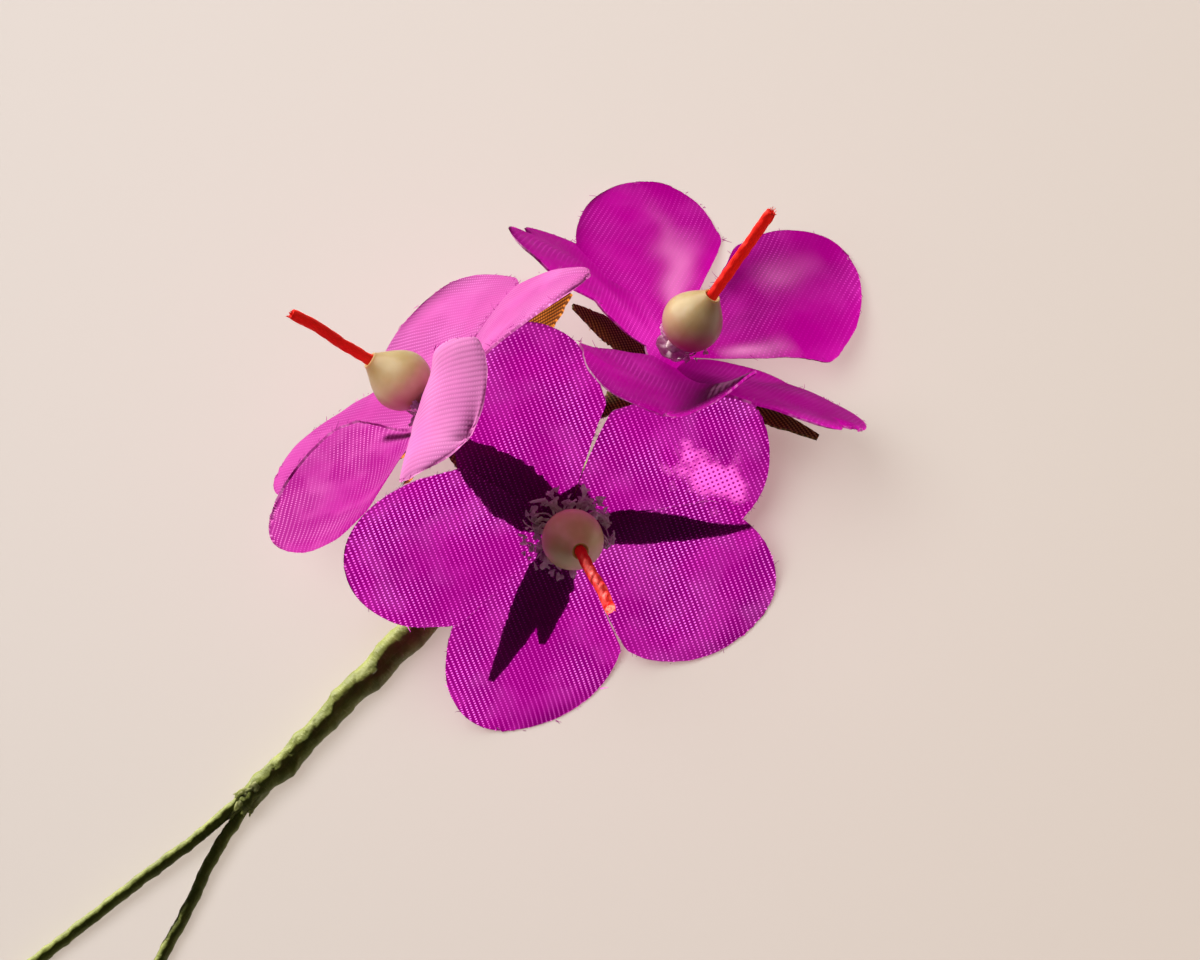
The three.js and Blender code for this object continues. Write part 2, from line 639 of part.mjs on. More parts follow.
const grown = [];
for (const blossom of BLOSSOMS) {
  const place = axisFrame(blossom.centre, blossom.axis, blossom.zero);
  const beadPlace = axisFrame(blossom.centre, blossom.beadAxis, blossom.zero);
  addNode(`corolla_${blossom.name}`, corolla(blossom, place), blossom.colour, 0.75);
  addNode(`calyx_${blossom.name}`, calyx(blossom, place), COLOUR.calyx, 0.8);
  addNode(`stamens_${blossom.name}`, stamenRing(blossom, place), COLOUR.filament, 0.35);
  addNode(`bead_${blossom.name}`, bead(beadPlace), COLOUR.bead, 0.45);
  addNode(`pistil_${blossom.name}`, pistil(blossom, beadPlace), COLOUR.pistil, 0.6);
  const { path, solid } = stem(blossom);
  grown.push(stem(blossom, 0.1).solid);
  let taped = solid;
  if (STEMS[blossom.name].leg) {
    const end = path[path.length - 1];
    const out = end.clone().sub(path[path.length - 2]).normalize();
    const from = end.clone().addScaledVector(out, WIRE_END.out - WIRE_END.length);
    const tip = end.clone().addScaledVector(out, WIRE_END.out);
    const bore = [from.clone().addScaledVector(out, -0.2), tip.clone().addScaledVector(out, 1)];
    const socket = rod(bore, 8, () => WIRE + WIRE_END.gap);
    taped = solid.subtract(toManifold(socket));
    const wire = toManifold(rod([from, tip], 8, () => WIRE));
    addNode(`wire_end_${blossom.name}`, wire, COLOUR.wire, 0.35, 0.9);
  }
  addNode(`stem_${blossom.name}`, taped, COLOUR.tape, 0.85);
}
addNode('binding_tape', binding(grown), COLOUR.binding, 0.85);

const box = new THREE.Box3().setFromObject(group);
const middle = box.getCenter(new THREE.Vector3());
group.children.forEach((mesh) => mesh.geometry.translate(-middle.x, -middle.y, 0));

export default group;
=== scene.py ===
"""Looks of the lying spray: three stamped fabric blossoms on taped wire stems.

Shapes are worked out in the spray's face frame, in millimetres: x to the right, y up and z out of the
front blossom. to_row() turns them into the row frame, in metres.
"""

from math import cos, degrees, pi, radians, sin, sqrt, tan

import bpy
import numpy as np
from mathutils import Matrix
from numpy.linalg import norm


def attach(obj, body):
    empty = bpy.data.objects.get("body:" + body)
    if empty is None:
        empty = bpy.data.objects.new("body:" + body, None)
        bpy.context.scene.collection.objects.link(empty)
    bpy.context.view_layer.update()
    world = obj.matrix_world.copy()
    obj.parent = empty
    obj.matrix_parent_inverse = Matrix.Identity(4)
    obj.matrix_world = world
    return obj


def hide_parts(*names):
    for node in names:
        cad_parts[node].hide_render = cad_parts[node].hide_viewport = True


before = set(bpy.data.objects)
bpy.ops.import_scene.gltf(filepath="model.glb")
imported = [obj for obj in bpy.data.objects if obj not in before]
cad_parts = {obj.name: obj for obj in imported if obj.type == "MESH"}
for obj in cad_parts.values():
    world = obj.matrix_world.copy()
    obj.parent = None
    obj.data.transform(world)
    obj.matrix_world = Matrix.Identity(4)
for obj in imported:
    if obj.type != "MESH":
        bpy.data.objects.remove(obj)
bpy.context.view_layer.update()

MM_PER_METRE = 1000
TURN = 2 * pi
outer = np.multiply.outer


def limit(share):
    return np.clip(share, 0, 1)


def unit(v):
    v = np.array(v, float)
    return v / norm(v)


# The surface under the spray, and the row frame that stands on it.
UP = unit((-0.18, 0.19, 0.965))
ALONG = np.array([0.74, 0.67, 0.0])
ROW_X = unit(ALONG - UP * (ALONG @ UP))
ROW_Y = np.cross(UP, ROW_X)
LEVEL = -8.75
MIDDLE = np.array([-24.0893, 4.5617, 0.0])
LOWEST_METRES = 0.00001


def to_row(points):
    p = np.asarray(points, float)
    q = np.stack([p @ ROW_X, p @ ROW_Y, p @ UP - LEVEL], -1)
    return (q - MIDDLE) / MM_PER_METRE


def row_direction(v):
    v = unit(v)
    return np.array([v @ ROW_X, v @ ROW_Y, v @ UP])


# What every blossom shares, in millimetres and degrees.
HUB_RADIUS = 1.6
LOBE_ANGLE = 35
LOBE_ROUNDING = 0.56
SEPAL = {"length": 15, "half": 1.6, "cup": -0.25}
SEPAL_DROP = 1.25
BEAD = {"base": 1.3, "length": 5.9, "radius": 2.65, "belly": 0.45, "collar": 0.78}
CLOTH = 0.24
DISC = 0.3
PETAL_FRAYS = 34
SEPAL_FRAYS = 16

# The blossoms, mostly with the solids' values. A blade is a petal or sepal. Its bearing (at), tilt, curl,
# roll and twist are in degrees; cup, left, right and skew are in millimetres and grow to the edge or tip.
# sector and below are the half angles of its two sides at the hub, made narrower by trim and by slim.
# A notch is its depth, place and width. A petal may have a painted highlight of a given strength all over it,
# and painted highlight streaks, each with its place and width across, start, end and strength.
FRONT = dict(
    centre=(-3.1, -4.0, 0), axis=(0.22, -0.34, 0.91), zero=(1, 0, 0),
    bead=(0.2, -0.28, 0.94), pistil=(0.31, -0.59, 0.745), reach=8.0,
    seed=11, weave=110,
    petals=[
        dict(at=186, tilt=4, curl=1, roll=2, twist=-2, cup=-0.1, skew=-0.4, right=1.4, below=41,
             length=19.4, half=7.1),
        dict(at=257, tilt=3, curl=-12, cup=0.6, skew=-0.8, right=0.4, sector=37, length=19.9, half=7.7),
        dict(at=330, tilt=7, curl=1, roll=-5, twist=5, cup=0.5, skew=1.1, right=0.7, sector=36.5,
             length=19.6, half=7.6),
        dict(at=30.5, tilt=0.5, curl=-7, roll=-3, cup=0.3, skew=-0.7, right=0.9, trim=0.65, sector=40,
             below=43, slim=-0.1, length=19.5, half=7.4),
        dict(at=109, tilt=0, curl=-5, roll=-3, cup=0.3, skew=-1.3, trim=0.25, sector=41, below=38.2,
             slim=0.08, length=18.8, half=7.3),
    ],
    sepals=[
        dict(at=-9, tilt=-1, skew=3, trim=0.75, slim=0.5, length=15.8, half=2.0),
        dict(at=74, tilt=-3, length=4.2), dict(at=139, tilt=-7, length=15, half=2.5),
        dict(at=242, tilt=-6, curl=-3), dict(at=257, tilt=-4, length=10.5),
    ],
)
LEFT = dict(
    centre=(-13.9, 6.5, 0), axis=(-0.8, 0.56, 0.18), zero=(0, 0, 1),
    bead=(-0.8, 0.52, 0.3), pistil=(-0.8, 0.475, 0.36), reach=8.0,
    seed=23, weave=30,
    petals=[
        dict(at=-6, tilt=35, curl=-75, roll=38, twist=-42, cup=1, skew=1.0, right=-2.5, sector=27,
             below=35, slim=0.25, pale=0.33, length=19.3, half=8.8),
        dict(at=53, tilt=14, curl=-41, roll=6, twist=-15, skew=0.6, left=0.2, right=1.2, trim=0.65,
             pale=0.12, length=20.6, half=7.4),
        dict(at=155, tilt=15, curl=-9, roll=4, twist=13, skew=-1.4, left=0.2, right=-2.2, pale=0.08,
             length=19.3, half=7.8),
        dict(at=226, tilt=24, curl=-4, roll=-4, twist=5, skew=-0.6, left=0.5, right=-0.7,
             length=19.2, half=7.4),
        dict(at=297, tilt=6, curl=38, roll=17, twist=13, cup=1.1, left=0.5, right=-0.5,
             length=19.6, half=7.9),
    ],
    sepals=[
        dict(at=6, tilt=-72, length=8), dict(at=87, tilt=-6, roll=24, skew=-2, length=14.6, half=3.4),
        dict(at=157, tilt=7), dict(at=229, tilt=12, length=14.5), dict(at=289, tilt=2, length=10),
    ],
)
RIGHT = dict(
    centre=(6.0, 11.1, -3.0), axis=(0.4, 0.6, 0.69), zero=(0, 0, 1),
    bead=(0.5, 0.65, 0.57), pistil=(0.53, 0.75, 0.39), reach=9.2,
    seed=43, weave=2,
    petals=[
        dict(at=8, tilt=33, curl=-4, roll=7, cup=5.5, skew=0.2, left=2.6, right=-6.5, trim=0.45,
             slim=-0.08, length=19.5, half=7.6),
        dict(at=73, tilt=36, curl=-14, roll=-19, twist=-3, cup=-0.5, skew=1.5, right=1.7,
             notch=(1.3, -0.8, 0.8), length=19.3, half=7.4),
        dict(at=149, tilt=25, curl=3, roll=-22, twist=14, cup=-1.1, skew=0.6, right=-0.8, sector=33,
             streaks=((-0.8, 0.18, 0.12, 0.5, 0.3), (0.25, 0.2, 0.5, 0.9, 0.12)),
             length=18.9, half=7.7),
        dict(at=217, tilt=9, curl=-14, roll=-6, twist=-5, cup=0.1, skew=-0.7, left=-0.5, right=0.3,
             below=29, slim=-0.04,
             streaks=((-0.4, 0.26, 0.1, 0.7, 0.2), (-0.2, 0.15, 0.4, 0.9, 0.06)),
             length=18.8, half=6.8),
        dict(at=266, tilt=24, curl=-38, roll=30, twist=4, cup=-0.2, skew=0.9, left=-0.6, right=0.9,
             notch=(1.6, -0.6, 1.1), length=17.5, half=7.2),
    ],
    sepals=[
        dict(at=348, tilt=-6, length=10, half=1.3), dict(at=92, tilt=9), dict(at=164, tilt=20, length=10.5),
        dict(at=212, tilt=7, length=12.5), dict(at=290, tilt=17, length=10),
    ],
)
BLOSSOMS = {"front": FRONT, "left": LEFT, "right": RIGHT}
BLADE_VALUES = ("tilt", "curl", "roll", "twist", "cup", "skew", "left", "right", "trim", "slim")

# The film rings. One that faces a bearing has no strips or crumbs on its far side.
FILM = {
    "front": {"strips": 44, "crumbs": 90, "size": 1.0},
    "left": {"strips": 26, "crumbs": 16, "size": 0.55},
    "right": {"strips": 26, "crumbs": 12, "size": 0.5, "faces": 145},
}

# The line of the bound stem, and each wire's way to it: back from the hub, round the bends, beside the
# bundle's line until it stops, and along its own leg.
BUNDLE = [
    (-10.6, -7.1, -8), (-14.9, -11.4, -8), (-17.5, -14.5, -8.1), (-20.2, -17.1, -7.9),
    (-22.8, -19.7, -7.8), (-25.4, -22.6, -7.8), (-28.0, -25.2, -7.7), (-30.2, -27.3, -7.7),
    (-31.3, -28.4, -7.7),
]
STEMS = {
    "front": dict(back=4.5, bends=[(-5.3, -2.9, -5.8), (-7.9, -5.0, -6.9)], side=(0, 1), stops=0.55, leg=[]),
    "left": dict(
        back=5, bends=[(-9.0, 1.2, -3.2), (-9.3, -2.0, -6.2), (-10.1, -4.8, -7.9)], side=(0.87, -0.5),
        stops=None, leg=[(-35, -31.1, -7.8), (-39.4, -34.4, -8.1), (-43.8, -37.8, -8.5), (-49.1, -41.9, -9.0),
                         (-58.5, -49.0, -9.55)],
    ),
    "right": dict(
        back=5, bends=[(2.2, 5.0, -7.6), (-1.5, 0.6, -8.1), (-5.2, -3.4, -8.1), (-8.1, -6.1, -8.2)],
        side=(-0.87, -0.5), stops=None,
        leg=[(-33.9, -33.0, -7.6), (-35.9, -37.2, -7.4), (-38.4, -41.9, -7.0), (-43.5, -52.0, -6.2)],
    ),
}
WIRE_RADIUS = 0.25
TAPED_RADIUS = 0.42
LOOSE_TAPE = 0.13
STALK_RADIUS = 0.36
STALK_LENGTH = 1.7
TAPE_LAP = 3.4
BINDING_RADIUS = 1.46
BINDING_TAPER = 0.42
BINDING_LAP = 5.2

# The ragged web of tape in the fork: place across and along, length, half width and height of each flap.
FLAPS = [
    (0.0, -1.6, 2.2, 0.62, 0.95), (-0.6, -1.1, 1.3, 0.34, 0.75), (0.6, -1.3, 1.2, 0.3, 0.8),
    (-0.05, -0.2, 2.1, 0.3, 0.4), (0.2, -2.3, 1.4, 0.45, 1.1),
]


class Noise:
    """Smooth seeded noise over points of three dimensions."""

    def __init__(self, seed, waves=24):
        rng = np.random.default_rng(seed)
        self.direction = rng.normal(size=(waves, 3))
        self.direction /= norm(self.direction, axis=1, keepdims=True)
        self.rate = rng.uniform(0.6, 1.6, waves)
        self.phase = rng.uniform(0, TURN, waves)

    def __call__(self, points, size):
        """Values of about -1 to 1 that change over a length of size."""
        p = np.asarray(points, float) @ self.direction.T
        return np.sin(p * self.rate * (TURN / size) + self.phase).mean(-1) * 2.6


# Meshes. A part is its points, its faces and its values: one entry a point, where uv is a map in millimetres.
pieces = {}


def join(parts):
    """One part from several that have the same kinds of values."""
    points, faces, values, start = [], [], {}, 0
    for part_points, part_faces, part_values in parts:
        points.append(part_points)
        faces += [[i + start for i in face] for face in part_faces]
        for key, value in part_values.items():
            values.setdefault(key, []).append(value)
        start += len(part_points)
    return np.vstack(points), faces, {key: np.concatenate(value) for key, value in values.items()}


def add_object(name, data):
    obj = bpy.data.objects.new(name, data)
    bpy.context.scene.collection.objects.link(obj)
    return obj


def facing(right, upward, back, where):
    """The matrix of a thing that stands somewhere, with its own x, y and z in the given directions."""
    return Matrix(np.column_stack([right, upward, back, where]).tolist() + [[0, 0, 0, 1]])


def piece(name, part, material, node):
    """A mesh object from a part in the face frame, in place of a node of the solids."""
    points, faces, values = part
    row = to_row(points)
    row[:, 2] = np.maximum(row[:, 2], LOWEST_METRES)
    mesh = bpy.data.meshes.new(name)
    mesh.from_pydata(row.tolist(), [], faces)
    if "uv" in values:
        index = np.zeros(len(mesh.loops), int)
        mesh.loops.foreach_get("vertex_index", index)
        layer = mesh.uv_layers.new(name="cloth")
        layer.data.foreach_set("uv", values["uv"][index].astype(np.float32).ravel())
    for key, value in values.items():
        if key != "uv":
            mesh.attributes.new(key, "FLOAT", "POINT").data.foreach_set("value", value.astype(np.float32))
    mesh.materials.append(material)
    mesh.validate()
    mesh.polygons.foreach_set("use_smooth", [True] * len(mesh.polygons))
    mesh.set_sharp_from_angle(angle=radians(48))
    mesh.update()
    obj = pieces[name] = add_object(name, mesh)
    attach(obj, "root")
    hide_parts(node)


def grid_faces(rows, columns, start=0, flip=False):
    i, j = np.meshgrid(np.arange(rows - 1), np.arange(columns - 1), indexing="ij")
    a = (start + i * columns + j).ravel()
    quads = np.stack([a, a + 1, a + columns + 1, a + columns], -1)
    return (quads[:, ::-1] if flip else quads).tolist()


def lattice(rows, columns):
    """Two arrays of evenly spaced values, each given by its first, its last and their number."""
    return np.meshgrid(np.linspace(*rows), np.linspace(*columns), indexing="ij")


def shell(grid, thickness, values):
    """A thin closed sheet round a grid of mid-surface points (rows, columns, 3)."""
    rows, columns, _ = grid.shape
    normal = np.cross(np.gradient(grid, axis=0), np.gradient(grid, axis=1))
    normal /= np.maximum(norm(normal, axis=-1, keepdims=True), 1e-9)
    half = thickness / 2
    points = np.vstack([(grid + normal * half).reshape(-1, 3), (grid - normal * half).reshape(-1, 3)])
    size = rows * columns
    faces = grid_faces(rows, columns) + grid_faces(rows, columns, size, flip=True)
    rim = (
        [j for j in range(columns - 1)]
        + [i * columns + columns - 1 for i in range(rows - 1)]
        + [(rows - 1) * columns + j for j in range(columns - 1, 0, -1)]
        + [i * columns for i in range(rows - 1, 0, -1)]
    )
    for a, b in zip(rim, rim[1:] + rim[:1]):
        faces.append([a, a + size, b + size, b])
    doubled = {key: np.concatenate([value.reshape(size, -1)] * 2).squeeze() for key, value in values.items()}
    return points, faces, doubled


def frames_along(path, start=(0.31, 0.2, 0.93)):
    """Side, lift and tangent at each point of a path, without any turn about it."""
    tangent = np.gradient(path, axis=0)
    tangent[0] = path[1] - path[0]
    tangent[-1] = path[-1] - path[-2]
    tangent /= norm(tangent, axis=1, keepdims=True)
    side = np.array(start, float)
    sides = []
    for t in tangent:
        side = unit(side - t * (side @ t))
        sides.append(side)
    sides = np.array(sides)
    return sides, np.cross(tangent, sides), tangent


def lengths_along(path):
    return np.concatenate([[0], np.cumsum(norm(np.diff(path, axis=0), axis=1))])


def tube(path, sides, radius):
    """A closed tube. radius(share, angle) gives its size; uv is length along by length round."""
    path = np.asarray(path, float)
    side, lift, _ = frames_along(path)
    length = lengths_along(path)
    share = length / length[-1]
    angle = TURN * np.arange(sides) / sides
    r = radius(share[:, None], angle[None, :])
    ring = (
        path[:, None]
        + side[:, None] * (r * np.cos(angle))[..., None]
        + lift[:, None] * (r * np.sin(angle))[..., None]
    )
    points = np.vstack([ring.reshape(-1, 3), path[:1], path[-1:]])
    faces = []
    last = len(path) - 1
    for i in range(last):
        for k in range(sides):
            a = i * sides + k
            b = i * sides + (k + 1) % sides
            faces.append([a, b, b + sides, a + sides])
    ends = len(path) * sides
    for k in range(sides):
        b = (k + 1) % sides
        faces.append([ends, b, k])
        faces.append([ends + 1, last * sides + k, last * sides + b])
    around = angle[None, :] * float(r.mean())
    uv = np.stack(np.broadcast_arrays(length[:, None], around), -1).reshape(-1, 2)
    return points, faces, {"uv": np.vstack([uv, uv[:1], uv[-1:]])}


def round_spots(along, radius, angle):
    """Places on a rod, for the noise on it."""
    return np.stack(np.broadcast_arrays(along, radius * np.cos(angle), radius * np.sin(angle)), -1)


def smooth_path(points, step):
    """Evenly spaced points on a centripetal curve through the given points."""
    p = np.array(points, float)
    wide = np.vstack([2 * p[0] - p[1], p, 2 * p[-1] - p[-2]])
    dense = []
    for i in range(len(p) - 1):
        x0, x1, x2, x3 = wide[i:i + 4]
        d0, d1, d2 = (max(norm(b - a), 1e-6) ** 0.5 for a, b in ((x0, x1), (x1, x2), (x2, x3)))
        m1 = ((x1 - x0) / d0 - (x2 - x0) / (d0 + d1) + (x2 - x1) / d1) * d1
        m2 = ((x2 - x1) / d1 - (x3 - x1) / (d1 + d2) + (x3 - x2) / d2) * d1
        t = np.linspace(0, 1, 60, endpoint=False)[:, None]
        square = -3 * x1 + 3 * x2 - 2 * m1 - m2
        cube = 2 * x1 - 2 * x2 + m1 + m2
        dense.append(x1 + m1 * t + square * t ** 2 + cube * t ** 3)
    dense = np.vstack(dense + [p[-1:]])
    length = lengths_along(dense)
    at = np.linspace(0, length[-1], max(3, round(length[-1] / step) + 1))
    return np.stack([np.interp(at, length, dense[:, k]) for k in range(3)], -1)


# Petals and sepals.
def axis_frame(blossom, axis="axis"):
    """place(x, y, h) for points round the blossom's axis or its bead's, where zero sets the bearing 0."""
    origin, zero = (np.array(blossom[key], float) for key in ("centre", "zero"))
    axis = unit(blossom[axis])
    u = unit(zero - axis * (zero @ axis))
    v = np.cross(axis, u)

    def place(x, y, h):
        return origin + outer(x, u) + outer(y, v) + outer(h, axis)

    return place


def lobe_half_width(r, blade):
    length, half = blade["length"], blade["half"]
    start = LOBE_ROUNDING * length
    beyond = limit((r - start) / (length - start))
    cap = half * np.sqrt(1 - beyond * beyond)
    sector = r * tan(radians(blade.get("sector", LOBE_ANGLE)))
    h = limit(0.5 + 0.5 * (cap - sector) / 0.5)
    return cap * (1 - h) + sector * h - 0.25 * h * (1 - h)


def sepal_half_width(r, blade):
    tip = 0.28
    s = (r - HUB_RADIUS) / (blade["length"] - HUB_RADIUS)
    wide = np.sin(pi * limit(0.22 + 0.78 * limit(s) ** 0.9))
    return tip + (blade["half"] - tip) * wide


def blade_point(blade, width, s, t, lift=0.0):
    """Point of a blade and its place on the flat cloth; lift raises it off its own surface.

    s runs from 0 at the hub to 1 at the tip, and t from -1 to 1 across.
    """
    tilt, curl, roll, twist, cup, skew, left, right, trim, slim = (blade.get(key, 0) for key in BLADE_VALUES)
    length = blade["length"]
    span = length - HUB_RADIUS
    r = HUB_RADIUS + span * s
    lower = {**blade, "sector": blade.get("below", blade.get("sector", LOBE_ANGLE))}
    x = np.where(t > 0, width(r, blade) * t * (1 - trim * s * s), width(r, lower) * t * (1 - slim))
    if "notch" in blade:
        depth, middle, wide = blade["notch"]
        s = s - depth / span * np.exp(-((x - middle) / wide) ** 2) * limit((s - 0.6) / 0.4)
    x = x + skew * (r / length) ** 2
    start, bend = radians(tilt), radians(curl)
    slope = start + bend * s
    if abs(bend) < 1e-6:
        out = cos(start) * s
        up = sin(start) * s
    else:
        out = (np.sin(slope) - sin(start)) / bend
        up = (cos(start) - np.cos(slope)) / bend
    u = x / blade["half"]
    turn = np.radians(roll * np.minimum(1, 2.5 * s) + twist * s)
    raised = cup * u * u * np.minimum(1, 1.5 * s)
    raised = raised + (left * np.maximum(u, 0) ** 2 + right * np.maximum(-u, 0) ** 2) * s + lift
    across = x * np.cos(turn) - raised * np.sin(turn)
    normal = x * np.sin(turn) + raised * np.cos(turn)
    radial = HUB_RADIUS + span * out - normal * np.sin(slope)
    height = span * up + normal * np.cos(slope)
    c, d = cos(radians(blade["at"])), sin(radians(blade["at"]))
    flat = np.stack([r * c - x * d, r * d + x * c], -1)
    return radial * c - across * d, radial * d + across * c, height, flat


def bent_by_surface(points, lowest, bend):
    """What would pass below the surface lies flat on it instead."""
    height = points @ UP - LEVEL
    overlap = np.maximum(1 - np.abs(height - lowest) / bend, 0)
    lifted = np.maximum(height, lowest) + bend / 4 * overlap * overlap
    return points + outer(lifted - height, UP)


def petal_rows(blade, straight, rounded):
    """Places along a petal, from just inside the hub, that are closer together where its tip is round."""
    start = (LOBE_ROUNDING * blade["length"] - HUB_RADIUS) / (blade["length"] - HUB_RADIUS)
    cap = np.sin(np.linspace(0, pi / 2, rounded + 1)[1:] * 0.995)
    return np.concatenate([np.linspace(-0.05, start, straight), start + (1 - start) * cap])


def petal(blossom, index, place):
    blade = blossom["petals"][index]
    noise = Noise(blossom["seed"] * 10 + index)
    s, t = np.meshgrid(petal_rows(blade, 36, 40), np.linspace(-1, 1, 57), indexing="ij")
    flat = np.stack([s * 18, t * 7, np.full_like(s, index * 40.0)], -1)
    rim = np.maximum(np.abs(t) ** 6, limit((s - 0.86) / 0.14) ** 2)
    # Streaks from the base, soft waves that grow to the edge, and a cut edge that follows the threads.
    streak = noise(np.stack([t * 7, s * 2.5, np.full_like(s, 9.0 * index)], -1), 6)
    rise = limit(3 * s)
    lift = 0.22 * streak * rise * (1 - 0.5 * s) + 0.15 * noise(flat, 10) * rise
    lift = lift + 0.09 * rim * noise(flat, 4.0) - 0.22 * rim ** 2 * rise
    jag = 1 + 0.007 * noise(flat, 0.6) * rim + 0.022 * noise(flat, 4.5) * rim
    x, y, h, cloth = blade_point(blade, lobe_half_width, s * (1 + (jag - 1) * 0.6), t * jag, lift)
    grid = bent_by_surface(place(x, y, h), CLOTH / 2 + 0.02, 1.2)
    # Painted highlight: some petals are made paler all over, and in streaks, where the light catches them.
    pale = blade.get("pale", 0) * (0.75 + 0.25 * noise(flat, 7)) * limit(4 * s)
    for middle, wide, low, high, amount in blade.get("streaks", ()):
        window = limit((s - low) / 0.12) * limit((high - s) / 0.25)
        pale = pale + amount * window * np.exp(-((t - middle + 0.1 * noise(flat, 5)) / wide) ** 2)
    return shell(grid, CLOTH, {"uv": cloth, "rim": rim, "pale": pale})


def sepal(blossom, index, blade, place):
    noise = Noise(blossom["seed"] * 31 + index)
    s, t = lattice((0, 1, 44), (-1, 1, 13))
    flat = np.stack([s * 15, t * 1.6, np.full_like(s, index * 30.0)], -1)
    rim = np.abs(t) ** 4
    jag = 1 + rim * (0.1 * noise(flat, 0.8) + 0.06 * noise(flat, 2.5))
    lift = 0.1 * noise(flat, 5) * s
    x, y, h, cloth = blade_point(blade, sepal_half_width, s, t * jag, lift)
    grid = bent_by_surface(place(x, y, h - SEPAL_DROP), CLOTH / 2 + 0.02, 0.8)
    return shell(grid, CLOTH, {"uv": cloth, "rim": rim, "pale": 0 * s})


def plain_cloth(uv):
    zero = np.zeros(uv.shape[:-1])
    return {"uv": uv, "rim": zero, "pale": zero}


def fray_radius(share, angle):
    return 0.032 * (1 - 0.6 * share) + 0 * angle


def frays(blossom, index, blade, place, count, width, drop=0.0):
    """Loose thread ends along the cut edge of a petal or sepal."""
    rng = np.random.default_rng(blossom["seed"] * 100 + index)
    parts = []
    for _ in range(count):
        s = rng.uniform(0.25, 0.99)
        t = rng.choice([-1, 1]) * rng.uniform(0.985, 1.0)
        reach = rng.uniform(0.12, 0.5) * rng.uniform(0.4, 1)
        x, y, h, cloth = blade_point(blade, width, np.full(2, s), np.array([t, t * 0.9]))
        edge, inner = place(x, y, h - drop)
        out = unit(edge - inner) + rng.normal(0, 0.45, 3)
        bend = rng.normal(0, 0.3, 3)
        line = np.array([edge + (out * k + bend * k * k) * reach for k in (-0.15, 0.35, 0.7, 1.0)])
        points, faces, _ = tube(bent_by_surface(line, 0.05, 0.1), 4, fray_radius)
        parts.append((points, faces, plain_cloth(np.repeat(cloth[:1], len(points), axis=0))))
    return parts


def disc(place, steps, hole, radius, rows, height):
    """The small round of cloth at the hub; height(angle, r) gives its level."""
    angle, r = lattice((0, TURN, steps), (hole, radius, rows))
    x = r * np.cos(angle)
    y = r * np.sin(angle)
    return shell(place(x, y, height(angle, r)), DISC, plain_cloth(np.stack([x, y], -1)))


def corolla(name, blossom):
    place = axis_frame(blossom)
    parts = [petal(blossom, index, place) for index in range(len(blossom["petals"]))]
    for index, blade in enumerate(blossom["petals"]):
        parts += frays(blossom, index, blade, place, PETAL_FRAYS, lobe_half_width)
    parts.append(disc(place, 49, 0.45, 2.3, 6, lambda angle, r: 0.04 * np.sin(3 * angle) * r))
    cloth = petal_cloth(name, blossom["weave"])
    piece(f"petals_{name}", join(parts), cloth, f"corolla_{name}")


def calyx(name, blossom):
    place = axis_frame(blossom)
    parts = []
    for index, given in enumerate(blossom["sepals"]):
        blade = {**SEPAL, **given}
        parts.append(sepal(blossom, index, blade, place))
        parts += frays(blossom, index, blade, place, SEPAL_FRAYS, sepal_half_width, SEPAL_DROP)
    parts.append(disc(place, 37, 0.5, 1.95, 5, lambda angle, r: np.full_like(r, -SEPAL_DROP)))
    piece(f"sepals_{name}", join(parts), sepal_cloth(name), f"calyx_{name}")


# The film ring.
FILM_LEVEL = 0.62
FILM_START = 1.2
STEEPEST = 42


def corolla_slope(blossom, bearing):
    """Tilt in degrees of the petal at a bearing, or of the steeper one between two petals."""
    gaps = sorted((abs((bearing - p["at"] + 540) % 360 - 180), p["tilt"]) for p in blossom["petals"])
    nearest, second = gaps[:2]
    return max(nearest[1], second[1] if second[0] < 45 else 0)


def film_slope(blossom, direction, above):
    return radians(min(corolla_slope(blossom, degrees(direction) % 360) + above, STEEPEST))


def out_of_sight(film, direction):
    return "faces" in film and cos(direction - radians(film["faces"])) < -0.25


def film_neck(place):
    """The ring and the collar of film under the bead."""
    angle, r = lattice((0, TURN, 61), (0.55, 1.5, 5))
    height = FILM_LEVEL + 0.08 * np.sin(7 * angle) * (r - 0.5)
    x = r * np.cos(angle)
    y = r * np.sin(angle)
    ring = shell(place(x, y, height), 0.16, {"uv": np.stack([x, y], -1)})
    neck = np.array([0.5, 0.9, 1.3, 1.75])
    line = place(0 * neck, 0 * neck, neck)
    return [ring, tube(line, 20, lambda s, angle: 0.62 + 0.08 * np.sin(5 * angle + 4 * s))]


def film_strip(blossom, direction, long, size, place, rng):
    slope = film_slope(blossom, direction, rng.uniform(4, 15))
    length = size * (rng.uniform(2.7, 3.6) if long else rng.uniform(1.5, 2.7))
    ranges = ((0.09, 0.16), (0.22, 0.5), (-0.4, 0.4), (-0.2, 1.1), (-2.2, 2.2), (0, 6))
    stalk, knob, bend, curl, twist, phase = (rng.uniform(*ends) for ends in ranges)
    s, t = lattice((0, 1, 19), (-1, 1, 5))
    blunt = np.sqrt(np.clip(1 - s ** 8, 0.06, 1))
    ragged = 1 + 0.4 * np.sin(13 * s + phase + 2 * t) * np.abs(t)
    wide = (stalk + knob * limit((s - 0.45) / 0.4) ** 1.5) * blunt * ragged
    turn = twist * s
    r = FILM_START + length * s * cos(slope) - 0.3 * abs(curl) * s ** 4
    h = FILM_LEVEL + length * s * sin(slope) + 0.5 * curl * s ** 2 + wide * t * np.sin(turn)
    a = direction + bend * s ** 2 + wide * t * np.cos(turn) / np.maximum(r, 1)
    grid = place(r * np.cos(a), r * np.sin(a), h)
    return shell(grid, 0.08, {"uv": np.stack([s * length, t * knob], -1)})


